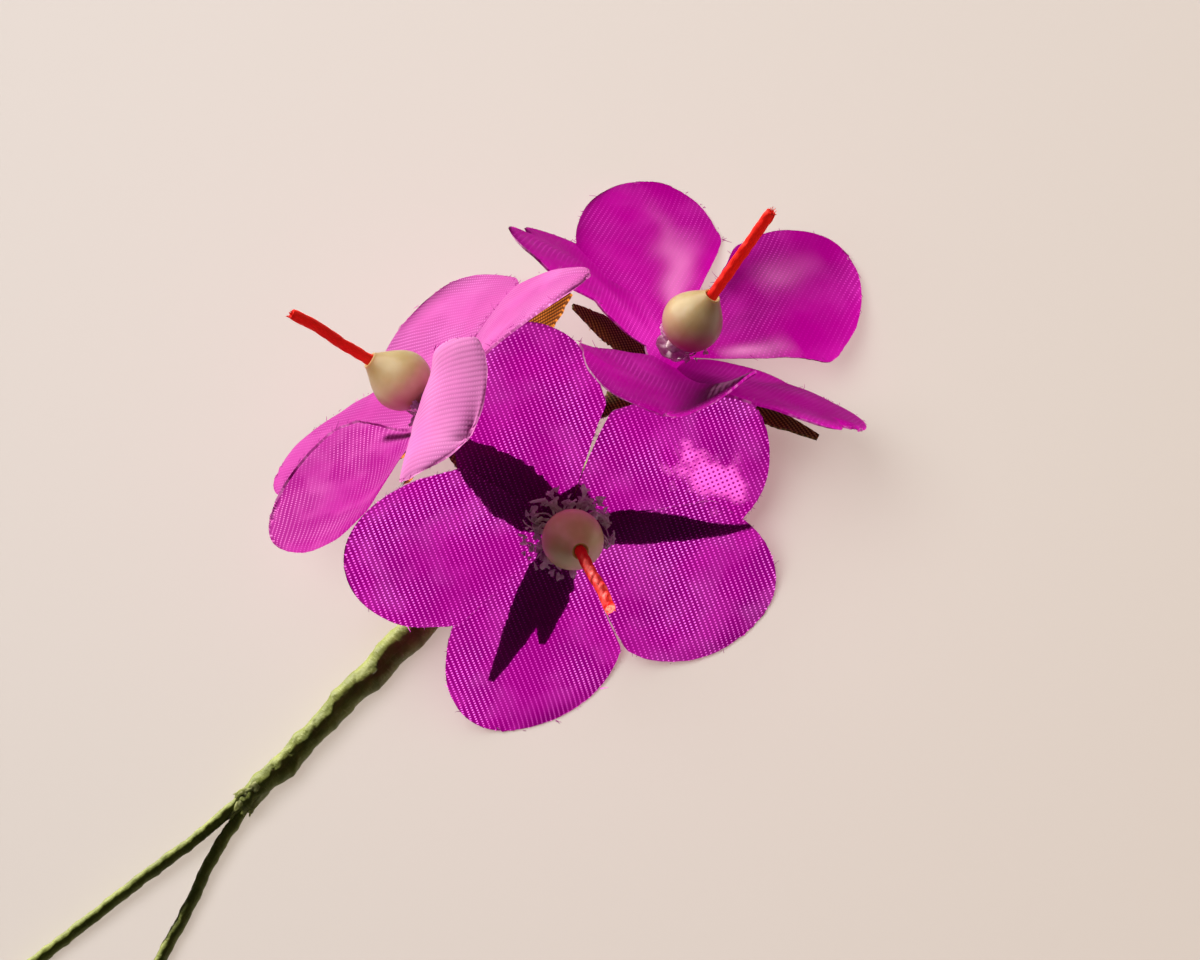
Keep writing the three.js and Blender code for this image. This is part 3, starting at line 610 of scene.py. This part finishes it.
def film_crumb(blossom, direction, r, place, rng):
    slope = film_slope(blossom, direction, rng.uniform(2, 9))
    across = unit(rng.normal(size=3))
    other = unit(np.cross(across, rng.normal(size=3)))
    wide = rng.uniform(0.16, 0.4)
    phase = rng.uniform(0, 6, 2)
    angle, out = lattice((0, TURN, 13), (0.1, 1, 4))
    ragged = wide * out * (1 + 0.3 * np.sin(3 * angle + phase[0]) + 0.2 * np.sin(5 * angle + phase[1]))
    height = 0.7 + (r - FILM_START) * tan(slope)
    middle = place(*np.array([r * cos(direction), r * sin(direction), height]))
    grid = (
        middle
        + outer(ragged * np.cos(angle), across)
        + outer(ragged * np.sin(angle), other)
    )
    return shell(grid, 0.07, {"uv": np.stack([angle * wide, out * wide], -1)})


def stamens(name, blossom):
    """A ring of ragged film: many small bent strips and crumbs that stand just off the petals."""
    film = FILM[name]
    place = axis_frame(blossom)
    rng = np.random.default_rng(blossom["seed"] + 5)
    parts = film_neck(place)
    for k in range(film["strips"]):
        direction = radians(360 / film["strips"] * (k + 0.8 * rng.random()))
        if not out_of_sight(film, direction):
            parts.append(film_strip(blossom, direction, k % 7 == 0, film["size"], place, rng))
    for _ in range(film["crumbs"]):
        direction = rng.uniform(0, TURN)
        r = FILM_START + film["size"] * rng.uniform(1.4, 3.0)
        if not out_of_sight(film, direction):
            parts.append(film_crumb(blossom, direction, r, place, rng))
    piece(f"film_{name}", join(parts), stamen_film(), f"stamens_{name}")


# Bead and pistil.
def bead(name, blossom):
    place = axis_frame(blossom, "bead")
    noise = Noise(blossom["seed"] + 70)
    base, length, radius, belly, collar = BEAD.values()
    low = np.linspace(0, 1, 22)
    rise = belly * (1 - np.cos(low * pi / 2))
    profile = [(radius * sqrt(max(1 - ((belly - t) / belly) ** 2, 0)), base + t * length) for t in rise]
    for t in np.linspace(0, 1, 30)[1:]:
        fall = cos(t * pi / 2) ** 1.15
        profile.append((collar + (radius - collar) * fall, base + (belly + t * (1 - belly)) * length))
    top = base + length
    lip = 0.09
    for a in np.linspace(0.3, 2.6, 6):
        profile.append((collar - lip * (1 - cos(a)), top + lip * sin(a)))
    profile += [(0.5, top - 0.12), (0.0, top - 0.15)]
    angle, line = np.meshgrid(TURN * np.arange(73) / 72, np.arange(len(profile)), indexing="ij")
    r, h = np.array(profile)[line].transpose(2, 0, 1)
    wobble = 1 + 0.018 * noise(np.stack([r * np.cos(angle), r * np.sin(angle), h], -1), 5)
    points = place(r * wobble * np.cos(angle), r * wobble * np.sin(angle), h).reshape(-1, 3)
    part = points, grid_faces(73, len(profile), flip=True), {"share": ((h - base) / length).reshape(-1)}
    piece(f"waxed_bead_{name}", part, bead_wax(), f"bead_{name}")


def pistil(name, blossom):
    """Two strands twisted together, with a frayed cut tip."""
    place = axis_frame(blossom, "bead")
    top = BEAD["base"] + BEAD["length"]
    start, rim = place(np.zeros(2), np.zeros(2), np.array([top - 0.5, top + 0.15]))
    reach = blossom["reach"]
    end = rim + unit(blossom["pistil"]) * reach
    near = rim + (end - rim) * 0.35
    far = rim + (end - rim) * 0.7 + np.array([0.08, 0.1, 0])
    path = smooth_path([start, rim, near, far, end], 0.08)
    turns = 7 * reach / 8
    noise = Noise(blossom["seed"] + 90)

    def radius(s, angle):
        strands = np.abs(np.cos(angle - turns * pi * s))
        fibre = np.sin(14 * (angle - turns * pi * s))
        wear_and_edge_highlight = noise(round_spots(s * 9, 1, angle), 1.3)
        cut = limit((s - 0.97) / 0.03)
        return 0.46 + 0.035 * strands + 0.012 * fibre + 0.04 * wear_and_edge_highlight - 0.05 * cut

    parts = [tube(path, 36, radius)]
    rng = np.random.default_rng(blossom["seed"] + 8)
    side, lift, tangent = frames_along(path)
    for _ in range(16):
        a = rng.uniform(0, TURN)
        out = side[-1] * cos(a) + lift[-1] * sin(a)
        root = path[-1] + out * rng.uniform(0.05, 0.36) - tangent[-1] * 0.1
        tip = root + tangent[-1] * rng.uniform(0.15, 0.5) + out * rng.uniform(-0.05, 0.25)
        line = [root, (root + tip) / 2 + out * 0.04, tip]
        parts.append(tube(line, 5, lambda s, angle: 0.045 * (1 - 0.5 * s) + 0 * angle))
    piece(f"twisted_pistil_{name}", join(parts), pistil_thread(), f"pistil_{name}")


# Stems and binding.
bundle = smooth_path(BUNDLE, 1.9)
bundle_side, bundle_lift, bundle_tangent = frames_along(bundle, (-0.67, 0.74, 0))


def stem_path(blossom, run):
    origin, axis = np.array(blossom["centre"], float), unit(blossom["axis"])
    points = [origin + axis * h for h in (1.9, 0, -2.2, -run["back"])]
    points += run["bends"]
    aside, above = run["side"]
    for centre, side, lift, share in zip(bundle, bundle_side, bundle_lift, np.linspace(0, 1, len(bundle))):
        if run["stops"] and share > run["stops"]:
            break
        reach = 0.56 * (1 - 0.08 * share)
        level = 1 if run["stops"] else min(max((1 - share) / 0.35, 0), 1)
        points.append(centre + side * reach * aside + lift * reach * np.sign(lift[2]) * above * level)
    return smooth_path(points + run["leg"], 0.16)


def stem(name, blossom):
    path = stem_path(blossom, STEMS[name])
    origin, axis = np.array(blossom["centre"], float), unit(blossom["axis"])
    above = (path - origin) @ axis
    near = norm(path - origin, axis=1)
    gap = norm(path[:, None] - bundle[None], axis=2).min(1)
    stalk = (above > -STALK_LENGTH) & (near < 3)
    base = np.where(stalk, STALK_RADIUS, TAPED_RADIUS + LOOSE_TAPE * limit((gap - 0.75) / 1.2))
    free = np.where(stalk, 0.15, 1.0)
    noise = Noise(blossom["seed"] + 40)
    length = lengths_along(path)[-1]

    def radius(s, angle):
        along = s * length
        wrap = (along / TAPE_LAP + angle / TURN) % 1
        ridge = 0.07 * np.exp(-((wrap - 0.5) / 0.1) ** 2) - 0.05 * wrap
        points = round_spots(along, 0.6, angle)
        crumple = 0.045 * noise(points, 2.2) + 0.02 * noise(points, 0.7)
        return base[:, None] + (ridge + crumple) * free[:, None]

    points, faces, values = tube(path, 28, radius)
    values["web"] = np.zeros(len(points))
    part = points, faces, values
    piece(f"taped_wire_{name}", part, tape("stem"), f"stem_{name}")


def wire_end(name, blossom):
    path = stem_path(blossom, STEMS[name])
    out = unit(path[-1] - path[-2])
    line = np.array([path[-1] + out * d for d in (-2.2, -1, 0, 0.6, 1.12, 1.2)])
    part = tube(line, 24, lambda s, angle: WIRE_RADIUS - 0.05 * limit((s - 0.97) / 0.03) + 0 * angle)
    piece(f"cut_wire_{name}", part, cut_steel(), f"wire_end_{name}")


def binding():
    path = smooth_path(BUNDLE, 0.14)
    noise = Noise(321)
    length = float(norm(np.diff(path, axis=0), axis=1).sum())

    def radius(s, angle):
        along = s * length
        taper = limit((s - 0.28) / 0.45)
        size = BINDING_RADIUS - BINDING_TAPER * taper * taper * (3 - 2 * taper)
        points = round_spots(along, 1.5, angle)
        bent = 0.06 * noise(points, 3.0)
        wrap = (along / BINDING_LAP + angle / TURN + bent) % 1
        edge = 0.1 * np.exp(-((wrap - 0.5) / 0.06) ** 2) + 0.1 * (0.5 - wrap)
        crumple = 0.1 * noise(points, 5.0) + 0.07 * noise(points, 1.8) + 0.025 * noise(points, 0.7)
        swell = 0.09 * np.sin(angle - 34 * s) + 0.05 * np.sin(2 * angle + 21 * s)
        ends = np.minimum(limit(s / 0.02), limit((1 - s) / 0.012)) ** 0.5
        return (size + edge + crumple + swell) * (0.72 + 0.28 * ends)

    points, faces, values = tube(path, 56, radius)
    parts = [(points, faces, {**values, "web": np.zeros(len(points))})]
    end, side, lift, tangent = bundle[-1], bundle_side[-1], bundle_lift[-1], bundle_tangent[-1]
    s, t = lattice((0, 1, 26), (-1, 1, 17))
    for k, (aside, start, reach, half, top) in enumerate(FLAPS):
        spot = np.stack([s * 4 + 9 * k, t * 1.5, 0 * s], -1)
        ragged = reach * (1 + 0.22 * noise(spot * [0, 1, 0] + [9 * k, 0, 3], 1.0))
        along = start + s * ragged
        wide = half * (1 + 0.3 * s + 0.15 * noise(spot, 1.2)) * t + aside + 0.3 * s * aside
        height = top - 0.3 * s ** 2 - 0.2 * t ** 2 + 0.12 * noise(spot, 1.3) * (0.3 + s)
        grid = (
            end
            + outer(along, tangent)
            + outer(wide, side)
            + outer(height * np.sign(lift[2]), lift)
        )
        values = {"uv": np.stack([s * reach, t * half], -1), "web": np.ones_like(s)}
        parts.append(shell(grid, 0.12, values))
    piece("wrapped_binding", join(parts), tape("binding"), "binding_tape")


class Tree:
    """Short calls for building one material's nodes."""

    def __init__(self, name):
        self.material = bpy.data.materials.new(name)
        self.material.use_nodes = True
        self.tree = self.material.node_tree
        self.shader = self.tree.nodes["Principled BSDF"]
        self.output = self.tree.nodes["Material Output"]

    def put(self, socket, value):
        if isinstance(value, bpy.types.NodeSocket):
            self.tree.links.new(value, socket)
        else:
            socket.default_value = value

    def node(self, kind, *values, out=0, settings=None, **named):
        """A node's output, with its first inputs given in order and others by name."""
        node = self.tree.nodes.new(kind)
        for key, value in (settings or {}).items():
            setattr(node, key, value)
        for place, value in enumerate(values):
            self.put(node.inputs[place], value)
        for key, value in named.items():
            self.put(node.inputs[key], value)
        return node.outputs[out]

    def math(self, operation, a, b=0.0, c=0.0, clamp=False):
        return self.node("ShaderNodeMath", a, b, c, settings={"operation": operation, "use_clamp": clamp})

    def times(self, a, b, clamp=False):
        return self.math("MULTIPLY", a, b, clamp=clamp)

    def wave(self, a, rate):
        return self.math("COSINE", self.times(a, rate))

    def vector(self, operation, a, b, out=0):
        return self.node("ShaderNodeVectorMath", a, b, out=out, settings={"operation": operation})

    def dot(self, a, b):
        return self.vector("DOT_PRODUCT", a, b, out=1)

    def uv(self):
        return self.node("ShaderNodeUVMap", settings={"uv_map": "cloth"})

    def attribute(self, name):
        return self.node("ShaderNodeAttribute", out=2, settings={"attribute_name": name})

    def noise(self, vector, scale, detail=2.0, roughness=0.5):
        return self.node("ShaderNodeTexNoise", Vector=vector, Scale=scale, Detail=detail, Roughness=roughness)

    def mix(self, factor, a, b):
        node = self.tree.nodes.new("ShaderNodeMix")
        node.data_type = "RGBA"
        self.put(node.inputs[0], factor)
        for place, colour in ((6, a), (7, b)):
            self.put(node.inputs[place], colour if isinstance(colour, bpy.types.NodeSocket) else (*colour, 1))
        return node.outputs[2]

    def range(self, value, low, high, to_low=0.0, to_high=1.0):
        smooth = {"interpolation_type": "SMOOTHSTEP"}
        return self.node("ShaderNodeMapRange", value, low, high, to_low, to_high, settings=smooth)

    def bump(self, height, distance, strength=1.0):
        return self.node("ShaderNodeBump", strength, distance, Height=height)

    def set(self, **inputs):
        for key, value in inputs.items():
            self.put(self.shader.inputs[key.replace("_", " ")], value)

    def add_translucent(self, colour, share):
        glow = self.node("ShaderNodeBsdfTranslucent", Color=colour)
        mixed = self.node("ShaderNodeMixShader", share, self.shader.outputs[0], glow)
        self.tree.links.new(mixed, self.output.inputs["Surface"])


# Materials. The weaves' rib and thread spacings are in millimetres, on the cloth's own map.
PETAL_RIB, PETAL_THREAD, PETAL_WANDER = 0.415, 0.26, 0.2
SEPAL_RIB, SEPAL_THREAD, SEPAL_WANDER, SEPAL_WEAVE = 0.36, 0.24, 0.2, 58
CLOTH_RELIEF = 0.00005
BEADING = {"front": (0.45, 0.95), "left": (0.3, 0.7), "right": (0.3, 0.7)}
PLAIN = {"front": (1.0, 0.8), "left": (0.85, 0.4), "right": (0.7, 0.35)}
SHEEN = {"front": 0.06, "left": 0.3, "right": 0.05}

# Thread colours from place to place: dark and light where lit from the front, then where light comes through.
# The blossoms are one cloth, but each has its own set, made paler or darker to stand for how strongly it is
# lit: painted light.
PETAL_COLOURS_PAINTED_PER_LIGHT = {
    "front": [((0.24, 0.002, 0.18), (0.2, 0.002, 0.165)), ((0.62, 0.03, 0.5), (0.76, 0.09, 0.7)),
              ((0.18, 0.0, 0.138), (0.14, 0.0, 0.115)), ((0.74, 0.065, 0.66), (1.0, 0.22, 0.96))],
    "left": [((0.31, 0.01, 0.215), (0.27, 0.008, 0.2)), ((0.6, 0.09, 0.47), (0.76, 0.22, 0.64)),
             ((0.19, 0.002, 0.135), (0.18, 0.004, 0.13)), ((0.5, 0.08, 0.4), (0.76, 0.24, 0.64))],
    "right": [((0.26, 0.001, 0.18), (0.22, 0.001, 0.16)), ((0.36, 0.006, 0.28), (0.46, 0.02, 0.38)),
              ((0.25, 0.0, 0.175), (0.21, 0.0, 0.15)), ((0.4, 0.003, 0.3), (0.68, 0.06, 0.56))],
}
GREEN = [((0.012, 0.018, 0.004), (0.03, 0.032, 0.008)), ((0.06, 0.075, 0.02), (0.17, 0.14, 0.045)),
         ((0.2, 0.09, 0.012), (0.2, 0.09, 0.012)), ((0.85, 0.46, 0.12), (0.85, 0.46, 0.12))]
BROWN = [((0.025, 0.011, 0.002), (0.05, 0.02, 0.003)), ((0.11, 0.045, 0.006), (0.24, 0.11, 0.015)),
         ((0.1, 0.03, 0.004), (0.18, 0.055, 0.008)), ((0.5, 0.16, 0.02), (0.8, 0.3, 0.05))]
CALYX_DYES = {"front": GREEN, "left": BROWN, "right": GREEN}

# The open basket weave on the front blossom's fourth petal: middle and axes on the flat cloth, thread
# spacing, and the colours of threads and holes. Its threads are painted paler and brighter than the rest of
# the petal, a painted patch of light.
BASKET_MIDDLE = (12.9, 3.6, 0)
BASKET_AXES = ((0.19, -0.11, 0), (0.21, 0.36, 0))
BASKET_THREAD = 0.4
BASKET_GLOW = ((0.7, 0.13, 0.58), (0.12, 0.0, 0.085))
BASKET_PAINTED_LIGHT_COLOUR = ((0.8, 0.14, 0.64), (0.2, 0.003, 0.15))
materials = {}


def shared(build):
    """Makes a material once for all the pieces that have it."""

    def get():
        if build.__name__ not in materials:
            tree = Tree(build.__name__)
            build(tree)
            materials[build.__name__] = tree.material
        return materials[build.__name__]

    return get


def woven(tree, rib, thread, angle, wander, beading):
    """Height of a ribbed weave on the flat cloth: ribs, beaded where threads cross. Also its coordinates."""
    uv = tree.uv()
    drift = tree.node("ShaderNodeTexNoise", out=1, Vector=uv, Scale=0.15)
    moved = tree.vector("SCALE", tree.vector("SUBTRACT", drift, (0.5, 0.5, 0.5)), (0, 0, 0))
    moved.node.inputs["Scale"].default_value = wander
    place = tree.vector("ADD", uv, moved)
    c, s = cos(radians(angle)), sin(radians(angle))
    u = tree.dot(place, (-s / rib, c / rib, 0))
    v = tree.dot(place, (c / thread, s / thread, 0))
    ribs = tree.math("MULTIPLY_ADD", tree.wave(u, TURN), 0.5, 0.5)
    beads = tree.wave(v, TURN)
    share = tree.range(tree.noise(uv, 0.13), 0.35, 0.65, *beading)
    swell = tree.math("MULTIPLY_ADD", beads, share, 1.0)
    return tree.times(ribs, swell), uv, u, v


def basket_weave(tree, uv, u, v):
    """How far a spot is in the open patch, and how far in a hole of its weave."""
    off = tree.vector("SUBTRACT", uv, BASKET_MIDDLE)
    offsets = [tree.dot(off, axis) for axis in BASKET_AXES]
    away = tree.math("SQRT", tree.math("ADD", *(tree.math("POWER", offset, 2.0) for offset in offsets)))
    ripple = tree.times(tree.noise(uv, 0.5, 3.0), 2.0)
    inside = tree.times(tree.range(tree.math("ADD", away, ripple), 2.0, 1.3), 0.8)
    w = tree.times(v, PETAL_THREAD / BASKET_THREAD)
    one, other = (tree.wave(tree.math(way, u, w), pi) for way in ("ADD", "SUBTRACT"))
    return inside, tree.range(tree.times(one, other), 0.1, 0.7)


def petal_cloth(name, angle):
    tree = Tree(f"petal_cloth_{name}")
    height, uv, u, v = woven(tree, PETAL_RIB, PETAL_THREAD, angle, PETAL_WANDER, BEADING[name])
    # The thread crests are lighter than the gaps, in the cloth's colour and in the light it lets through:
    # partly the weave's own look and partly a painted highlight on lit threads. They show as dots, more so
    # where the cloth is pulled open.
    plain = tree.range(tree.noise(uv, 0.21), 0.42, 0.66)
    open_top, open_low = PLAIN[name]
    crests_and_painted_highlight = tree.range(height, 0.75, 1.75)
    dots = tree.range(plain, 0.0, 1.0, open_top, open_low)
    even = tree.range(plain, 0.0, 1.0, (1 - open_top) * 0.3, (1 - open_low) * 0.3)
    top = tree.math("MULTIPLY_ADD", crests_and_painted_highlight, dots, even)
    patch = tree.range(tree.noise(uv, 0.15, 3.0), 0.35, 0.68)
    deep, light, low, high = (tree.mix(patch, *pair) for pair in PETAL_COLOURS_PAINTED_PER_LIGHT[name])
    colour = tree.mix(top, deep, light)
    glow = tree.mix(top, low, high)
    if name == "front":
        # The open patch has its threads in a painted paler colour, a painted patch of light over its real
        # holes.
        inside, hole = basket_weave(tree, uv, u, v)
        glow = tree.mix(inside, glow, tree.mix(hole, *BASKET_GLOW))
        colour = tree.mix(inside, colour, tree.mix(hole, *BASKET_PAINTED_LIGHT_COLOUR))
    # Painted highlight on the cut edges: pale pink in patches, in the cloth's colour and in the light it lets
    # through.
    wear_and_edge_highlight = tree.range(tree.noise(uv, 1.1), 0.45, 0.6)
    rim = tree.times(tree.range(tree.attribute("rim"), 0.96, 1.0), wear_and_edge_highlight)
    colour = tree.mix(tree.times(rim, 0.2), colour, (0.92, 0.45, 0.82))
    glow = tree.mix(tree.times(rim, 0.15), glow, (1.0, 0.5, 0.9))
    # Painted highlight: the petal's highlight value mixes both colours toward pale pink.
    pale = tree.attribute("pale")
    colour = tree.mix(pale, colour, (0.95, 0.6, 0.88))
    glow = tree.mix(pale, glow, (0.95, 0.52, 0.84))
    tree.set(Base_Color=colour, Roughness=0.6, Specular_IOR_Level=0.05, Sheen_Weight=SHEEN[name],
             Sheen_Roughness=0.35, Sheen_Tint=(1.0, 0.72, 0.94, 1),
             Normal=tree.bump(height, CLOTH_RELIEF, 0.3))
    tree.add_translucent(glow, 0.5)
    return tree.material


def sepal_cloth(name):
    tree = Tree(f"sepal_cloth_{name}")
    height, uv, _, _ = woven(tree, SEPAL_RIB, SEPAL_THREAD, SEPAL_WEAVE, SEPAL_WANDER, (0.2, 0.5))
    # The thread crests are lighter than the gaps, in the colour and in the light let through: partly the
    # weave's own look, partly a painted highlight.
    top = tree.range(height, 0.4, 0.9)
    patch = tree.range(tree.noise(uv, 0.25, 3.0), 0.35, 0.7)
    deep, light, low, high = (tree.mix(patch, *pair) for pair in CALYX_DYES[name])
    rim = tree.times(tree.attribute("rim"), 0.7, clamp=True)
    colour = tree.mix(rim, tree.mix(top, deep, light), (0.2, 0.19, 0.06))
    tree.set(Base_Color=colour, Roughness=0.7, Specular_IOR_Level=0.12, Sheen_Weight=0.06,
             Sheen_Roughness=0.5, Sheen_Tint=(1.0, 0.8, 0.5, 1), Normal=tree.bump(height, CLOTH_RELIEF, 0.6))
    tree.add_translucent(tree.mix(top, low, high), 0.45)
    return tree.material


@shared
def stamen_film(tree):
    uv = tree.uv()
    cloud = tree.range(tree.noise(uv, 1.8, 4.0), 0.35, 0.7)
    tree.set(Base_Color=tree.mix(cloud, (0.6, 0.44, 0.56), (0.86, 0.76, 0.84)), Roughness=0.5,
             Specular_IOR_Level=0.3, Normal=tree.bump(tree.noise(uv, 5.0, 3.0), 0.00004, 0.5))
    tree.add_translucent(tree.mix(cloud, (0.72, 0.45, 0.66), (0.92, 0.8, 0.9)), 0.5)


@shared
def bead_wax(tree):
    where = tree.node("ShaderNodeTexCoord", out=3)
    broad = tree.noise(where, 260, 3.0)
    fine = tree.noise(where, 2600)
    cream = tree.mix(tree.range(broad, 0.35, 0.68), (0.46, 0.36, 0.15), (0.58, 0.48, 0.25))
    tip = tree.range(tree.attribute("share"), 0.78, 0.99)
    colour = tree.mix(tree.times(tip, 0.45), cream, (0.42, 0.27, 0.1))
    tree.set(Base_Color=colour, Roughness=tree.range(fine, 0.3, 0.7, 0.3, 0.42), Subsurface_Weight=0.35,
             Subsurface_Radius=(0.0016, 0.0009, 0.0004), Subsurface_Scale=1.0, Coat_Weight=0.12,
             Coat_Roughness=0.25, Normal=tree.bump(broad, 0.00008, 0.35))


@shared
def pistil_thread(tree):
    fibre = tree.noise(tree.vector("MULTIPLY", tree.uv(), (0.8, 6.0, 1.0)), 3.0, 3.0)
    colour = tree.mix(tree.range(fibre, 0.35, 0.68), (0.62, 0.004, 0.004), (0.92, 0.03, 0.015))
    tree.set(Base_Color=colour, Roughness=0.55, Specular_IOR_Level=0.1, Sheen_Weight=0.04,
             Sheen_Tint=(1, 0.4, 0.3, 1), Normal=tree.bump(fibre, 0.00005, 0.6))
    tree.add_translucent((1.0, 0.17, 0.13, 1), 0.35)


@shared
def cut_steel(tree):
    drawn = tree.noise(tree.vector("MULTIPLY", tree.uv(), (0.4, 9.0, 1.0)), 3.0, 3.0)
    tree.set(Base_Color=tree.mix(drawn, (0.32, 0.31, 0.3), (0.55, 0.54, 0.52)), Metallic=1.0,
             Roughness=tree.range(drawn, 0.3, 0.7, 0.26, 0.42), Normal=tree.bump(drawn, 0.00002, 0.5))


def tape(kind):
    """Crepe tape, thinner and paler where it is a web between the wires."""
    tree = Tree(f"{kind}_tape")
    uv = tree.uv()
    crepe = tree.noise(tree.vector("MULTIPLY", uv, (3.2, 0.9, 1.0)), 1.5, 4.0, 0.6)
    fine = tree.noise(tree.vector("MULTIPLY", uv, (9.0, 2.0, 1.0)), 1.4, 3.0)
    cloud = tree.noise(uv, 0.5, 3.0)
    green = tree.mix(tree.range(cloud, 0.3, 0.72), (0.09, 0.115, 0.006), (0.15, 0.18, 0.018))
    # The crepe's raised crests are paler: partly the stretched paper's own colour, partly a painted
    # highlight.
    pale = tree.times(tree.range(crepe, 0.52, 0.8), 0.45)
    creased = tree.mix(pale, green, (0.32, 0.36, 0.12))
    web = tree.attribute("web")
    colour = tree.mix(web, creased, (0.3, 0.32, 0.13))
    height = tree.math("MULTIPLY_ADD", fine, 0.4, crepe)
    tree.set(Base_Color=colour, Roughness=0.58, Specular_IOR_Level=0.25, Sheen_Weight=0.08,
             Normal=tree.bump(height, 0.00012, 0.7))
    glow = tree.mix(web, (0.3, 0.36, 0.08), (0.62, 0.66, 0.36))
    tree.add_translucent(glow, tree.math("MULTIPLY_ADD", web, 0.55, 0.05))
    return tree.material


# The object.
for name, blossom in BLOSSOMS.items():
    for build in (corolla, calyx, stamens, bead, pistil, stem):
        build(name, blossom)
    if STEMS[name]["leg"]:
        wire_end(name, blossom)
binding()


# Floor, light and camera.
FLOOR_REACH = 3
FLOOR_LEVEL = -0.00003
FLOOR_PAINT = (0.4, 0.3725, 0.345, 1)
LAMP_DISTANCE = 1.2
WARM = (1.0, 0.93, 0.84)
COOL = (0.97, 0.965, 1.0)
AMBER = (1.0, 0.66, 0.34)
GOLD = (1.0, 0.84, 0.4)
TOP_LEFT = (-0.6, 0.77, -0.16)
PHOTO_WIDTH_PIXELS = 1200
FOCAL_PIXELS = 4884
SENSOR = 36
EYE_DISTANCE = 420


def add_floor():
    mesh = bpy.data.meshes.new("floor")
    low, high = -FLOOR_REACH, FLOOR_REACH
    corners = [(x, y, FLOOR_LEVEL) for x, y in ((low, low), (high, low), (high, high), (low, high))]
    mesh.from_pydata(corners, [], [[0, 1, 2, 3]])
    tree = Tree("floor_paint")
    tree.set(Base_Color=FLOOR_PAINT, Roughness=0.9, Specular_IOR_Level=0.1)
    mesh.materials.append(tree.material)
    floor = add_object("floor", mesh)
    return floor


def lamp(name, kind, direction, power, colour, size, distance=LAMP_DISTANCE):
    """A lamp that shines from a direction of the face frame; a sun's size is in degrees."""
    data = bpy.data.lights.new(name, kind)
    data.energy = power
    data.color = colour
    if kind == "SUN":
        data.angle = radians(size)
    else:
        data.shape = "DISK"
        data.size = size
    obj = add_object(name, data)
    back = unit(row_direction(direction))
    side = unit(np.cross((0.13, 0.21, 0.97), back))
    obj.matrix_world = facing(side, np.cross(back, side), back, back * distance)
    return obj


def light_only(obj, targets, blockers=(), state="INCLUDE"):
    """The lamp's light reaches only the targets, or all but them; only the blockers shade it, if given."""
    for attribute, members, how in (("receiver", targets, state), ("blocker", blockers, "INCLUDE")):
        if members:
            group = bpy.data.collections.new(f"{obj.name}_{attribute}")
            for member in members:
                group.objects.link(member)
            setattr(obj.light_linking, f"{attribute}_collection", group)
            for item in group.collection_objects:
                item.light_linking.link_state = how


def some(*names):
    return [pieces[n] for n in names]


floor = add_floor()
taped = some("taped_wire_front", "taped_wire_left", "taped_wire_right", "wrapped_binding")
corollas = some("petals_front", "petals_left", "petals_right")
side_beads = some("waxed_bead_left", "waxed_bead_right")

# A low sun from the upper left for all but the floor and the pieces that have a sun of their own.
key = lamp("key", "SUN", TOP_LEFT, 11.0, WARM, 3.0)
own_suns = [floor] + taped + corollas + some("sepals_left", "twisted_pistil_front") + side_beads
light_only(key, own_suns, state="EXCLUDE")

# The suns of their own: name, direction, power, softness, what they light and what shades it. Those from
# behind make the cloth glow with the shadows of sepals and bead on it.
SUNS = (
    ("soft", (-0.6, 0.77, 0.3), 4.5, 70.0, side_beads, side_beads + some("petals_left", "petals_right")),
    ("along", TOP_LEFT, 14.0, 3.0, taped, taped),
    ("across", TOP_LEFT, 14.5, 3.0, some("petals_left"),
     some("waxed_bead_left", "sepals_left", "twisted_pistil_left")),
    ("tip", (-0.455, 0.625, -0.635), 24.0, 6.0, some("twisted_pistil_front"), some("waxed_bead_front")),
    ("behind", (-0.37, 0.53, -0.77), 11.0, 3.0, some("petals_front"),
     some("sepals_front", "waxed_bead_front")),
    ("leaf", (-0.11, 0.25, -0.95), 15.0, 3.0, some("sepals_left"), some("waxed_bead_left")),
    ("under", (-0.7, -0.08, -0.71), 12.5, 3.0, some("petals_right"), some("waxed_bead_right")),
)
for name, direction, power, softness, targets, blockers in SUNS:
    light_only(lamp(name, "SUN", direction, power, WARM, softness), targets, blockers)
fill = lamp("fill", "AREA", (0.4, 0.5, 0.75), 1.6, GOLD, 0.6)
light_only(fill, some("waxed_bead_front", "film_front", "film_right"))

# The floor's own lamps; the open ones aren't shaded, so they leave only a part of the soft shadow.
FLOOR_LAMPS = (
    ("overhead", (-0.42, 0.36, 0.83), 1.9, COOL, 0.48, ()),
    ("overhead_open", (-0.3, 0.55, 0.78), 1.95, COOL, 0.384, [floor]),
    ("warm_open", (0.55, -0.1, 0.8), 2.1, AMBER, 0.6, [floor]),
)
for name, direction, power, colour, distance, blockers in FLOOR_LAMPS:
    light_only(lamp(name, "AREA", direction, power, colour, 0.45, distance), [floor], blockers)

world = bpy.data.worlds.new("studio")
world.use_nodes = True
background = world.node_tree.nodes["Background"]
background.inputs["Color"].default_value = (1.0, 0.95, 0.91, 1)
background.inputs["Strength"].default_value = 0.06
bpy.context.scene.world = world
bpy.context.scene.view_settings.view_transform = "Standard"

view = bpy.data.cameras.new("camera")
view.sensor_fit = "HORIZONTAL"
view.sensor_width = SENSOR
view.lens = SENSOR * FOCAL_PIXELS / PHOTO_WIDTH_PIXELS
view.clip_start = 0.02
view.clip_end = 20
camera = add_object("camera", view)
camera.matrix_world = facing(*(row_direction(v) for v in np.eye(3)), to_row((0, 0, EYE_DISTANCE)))
bpy.context.scene.camera = camera
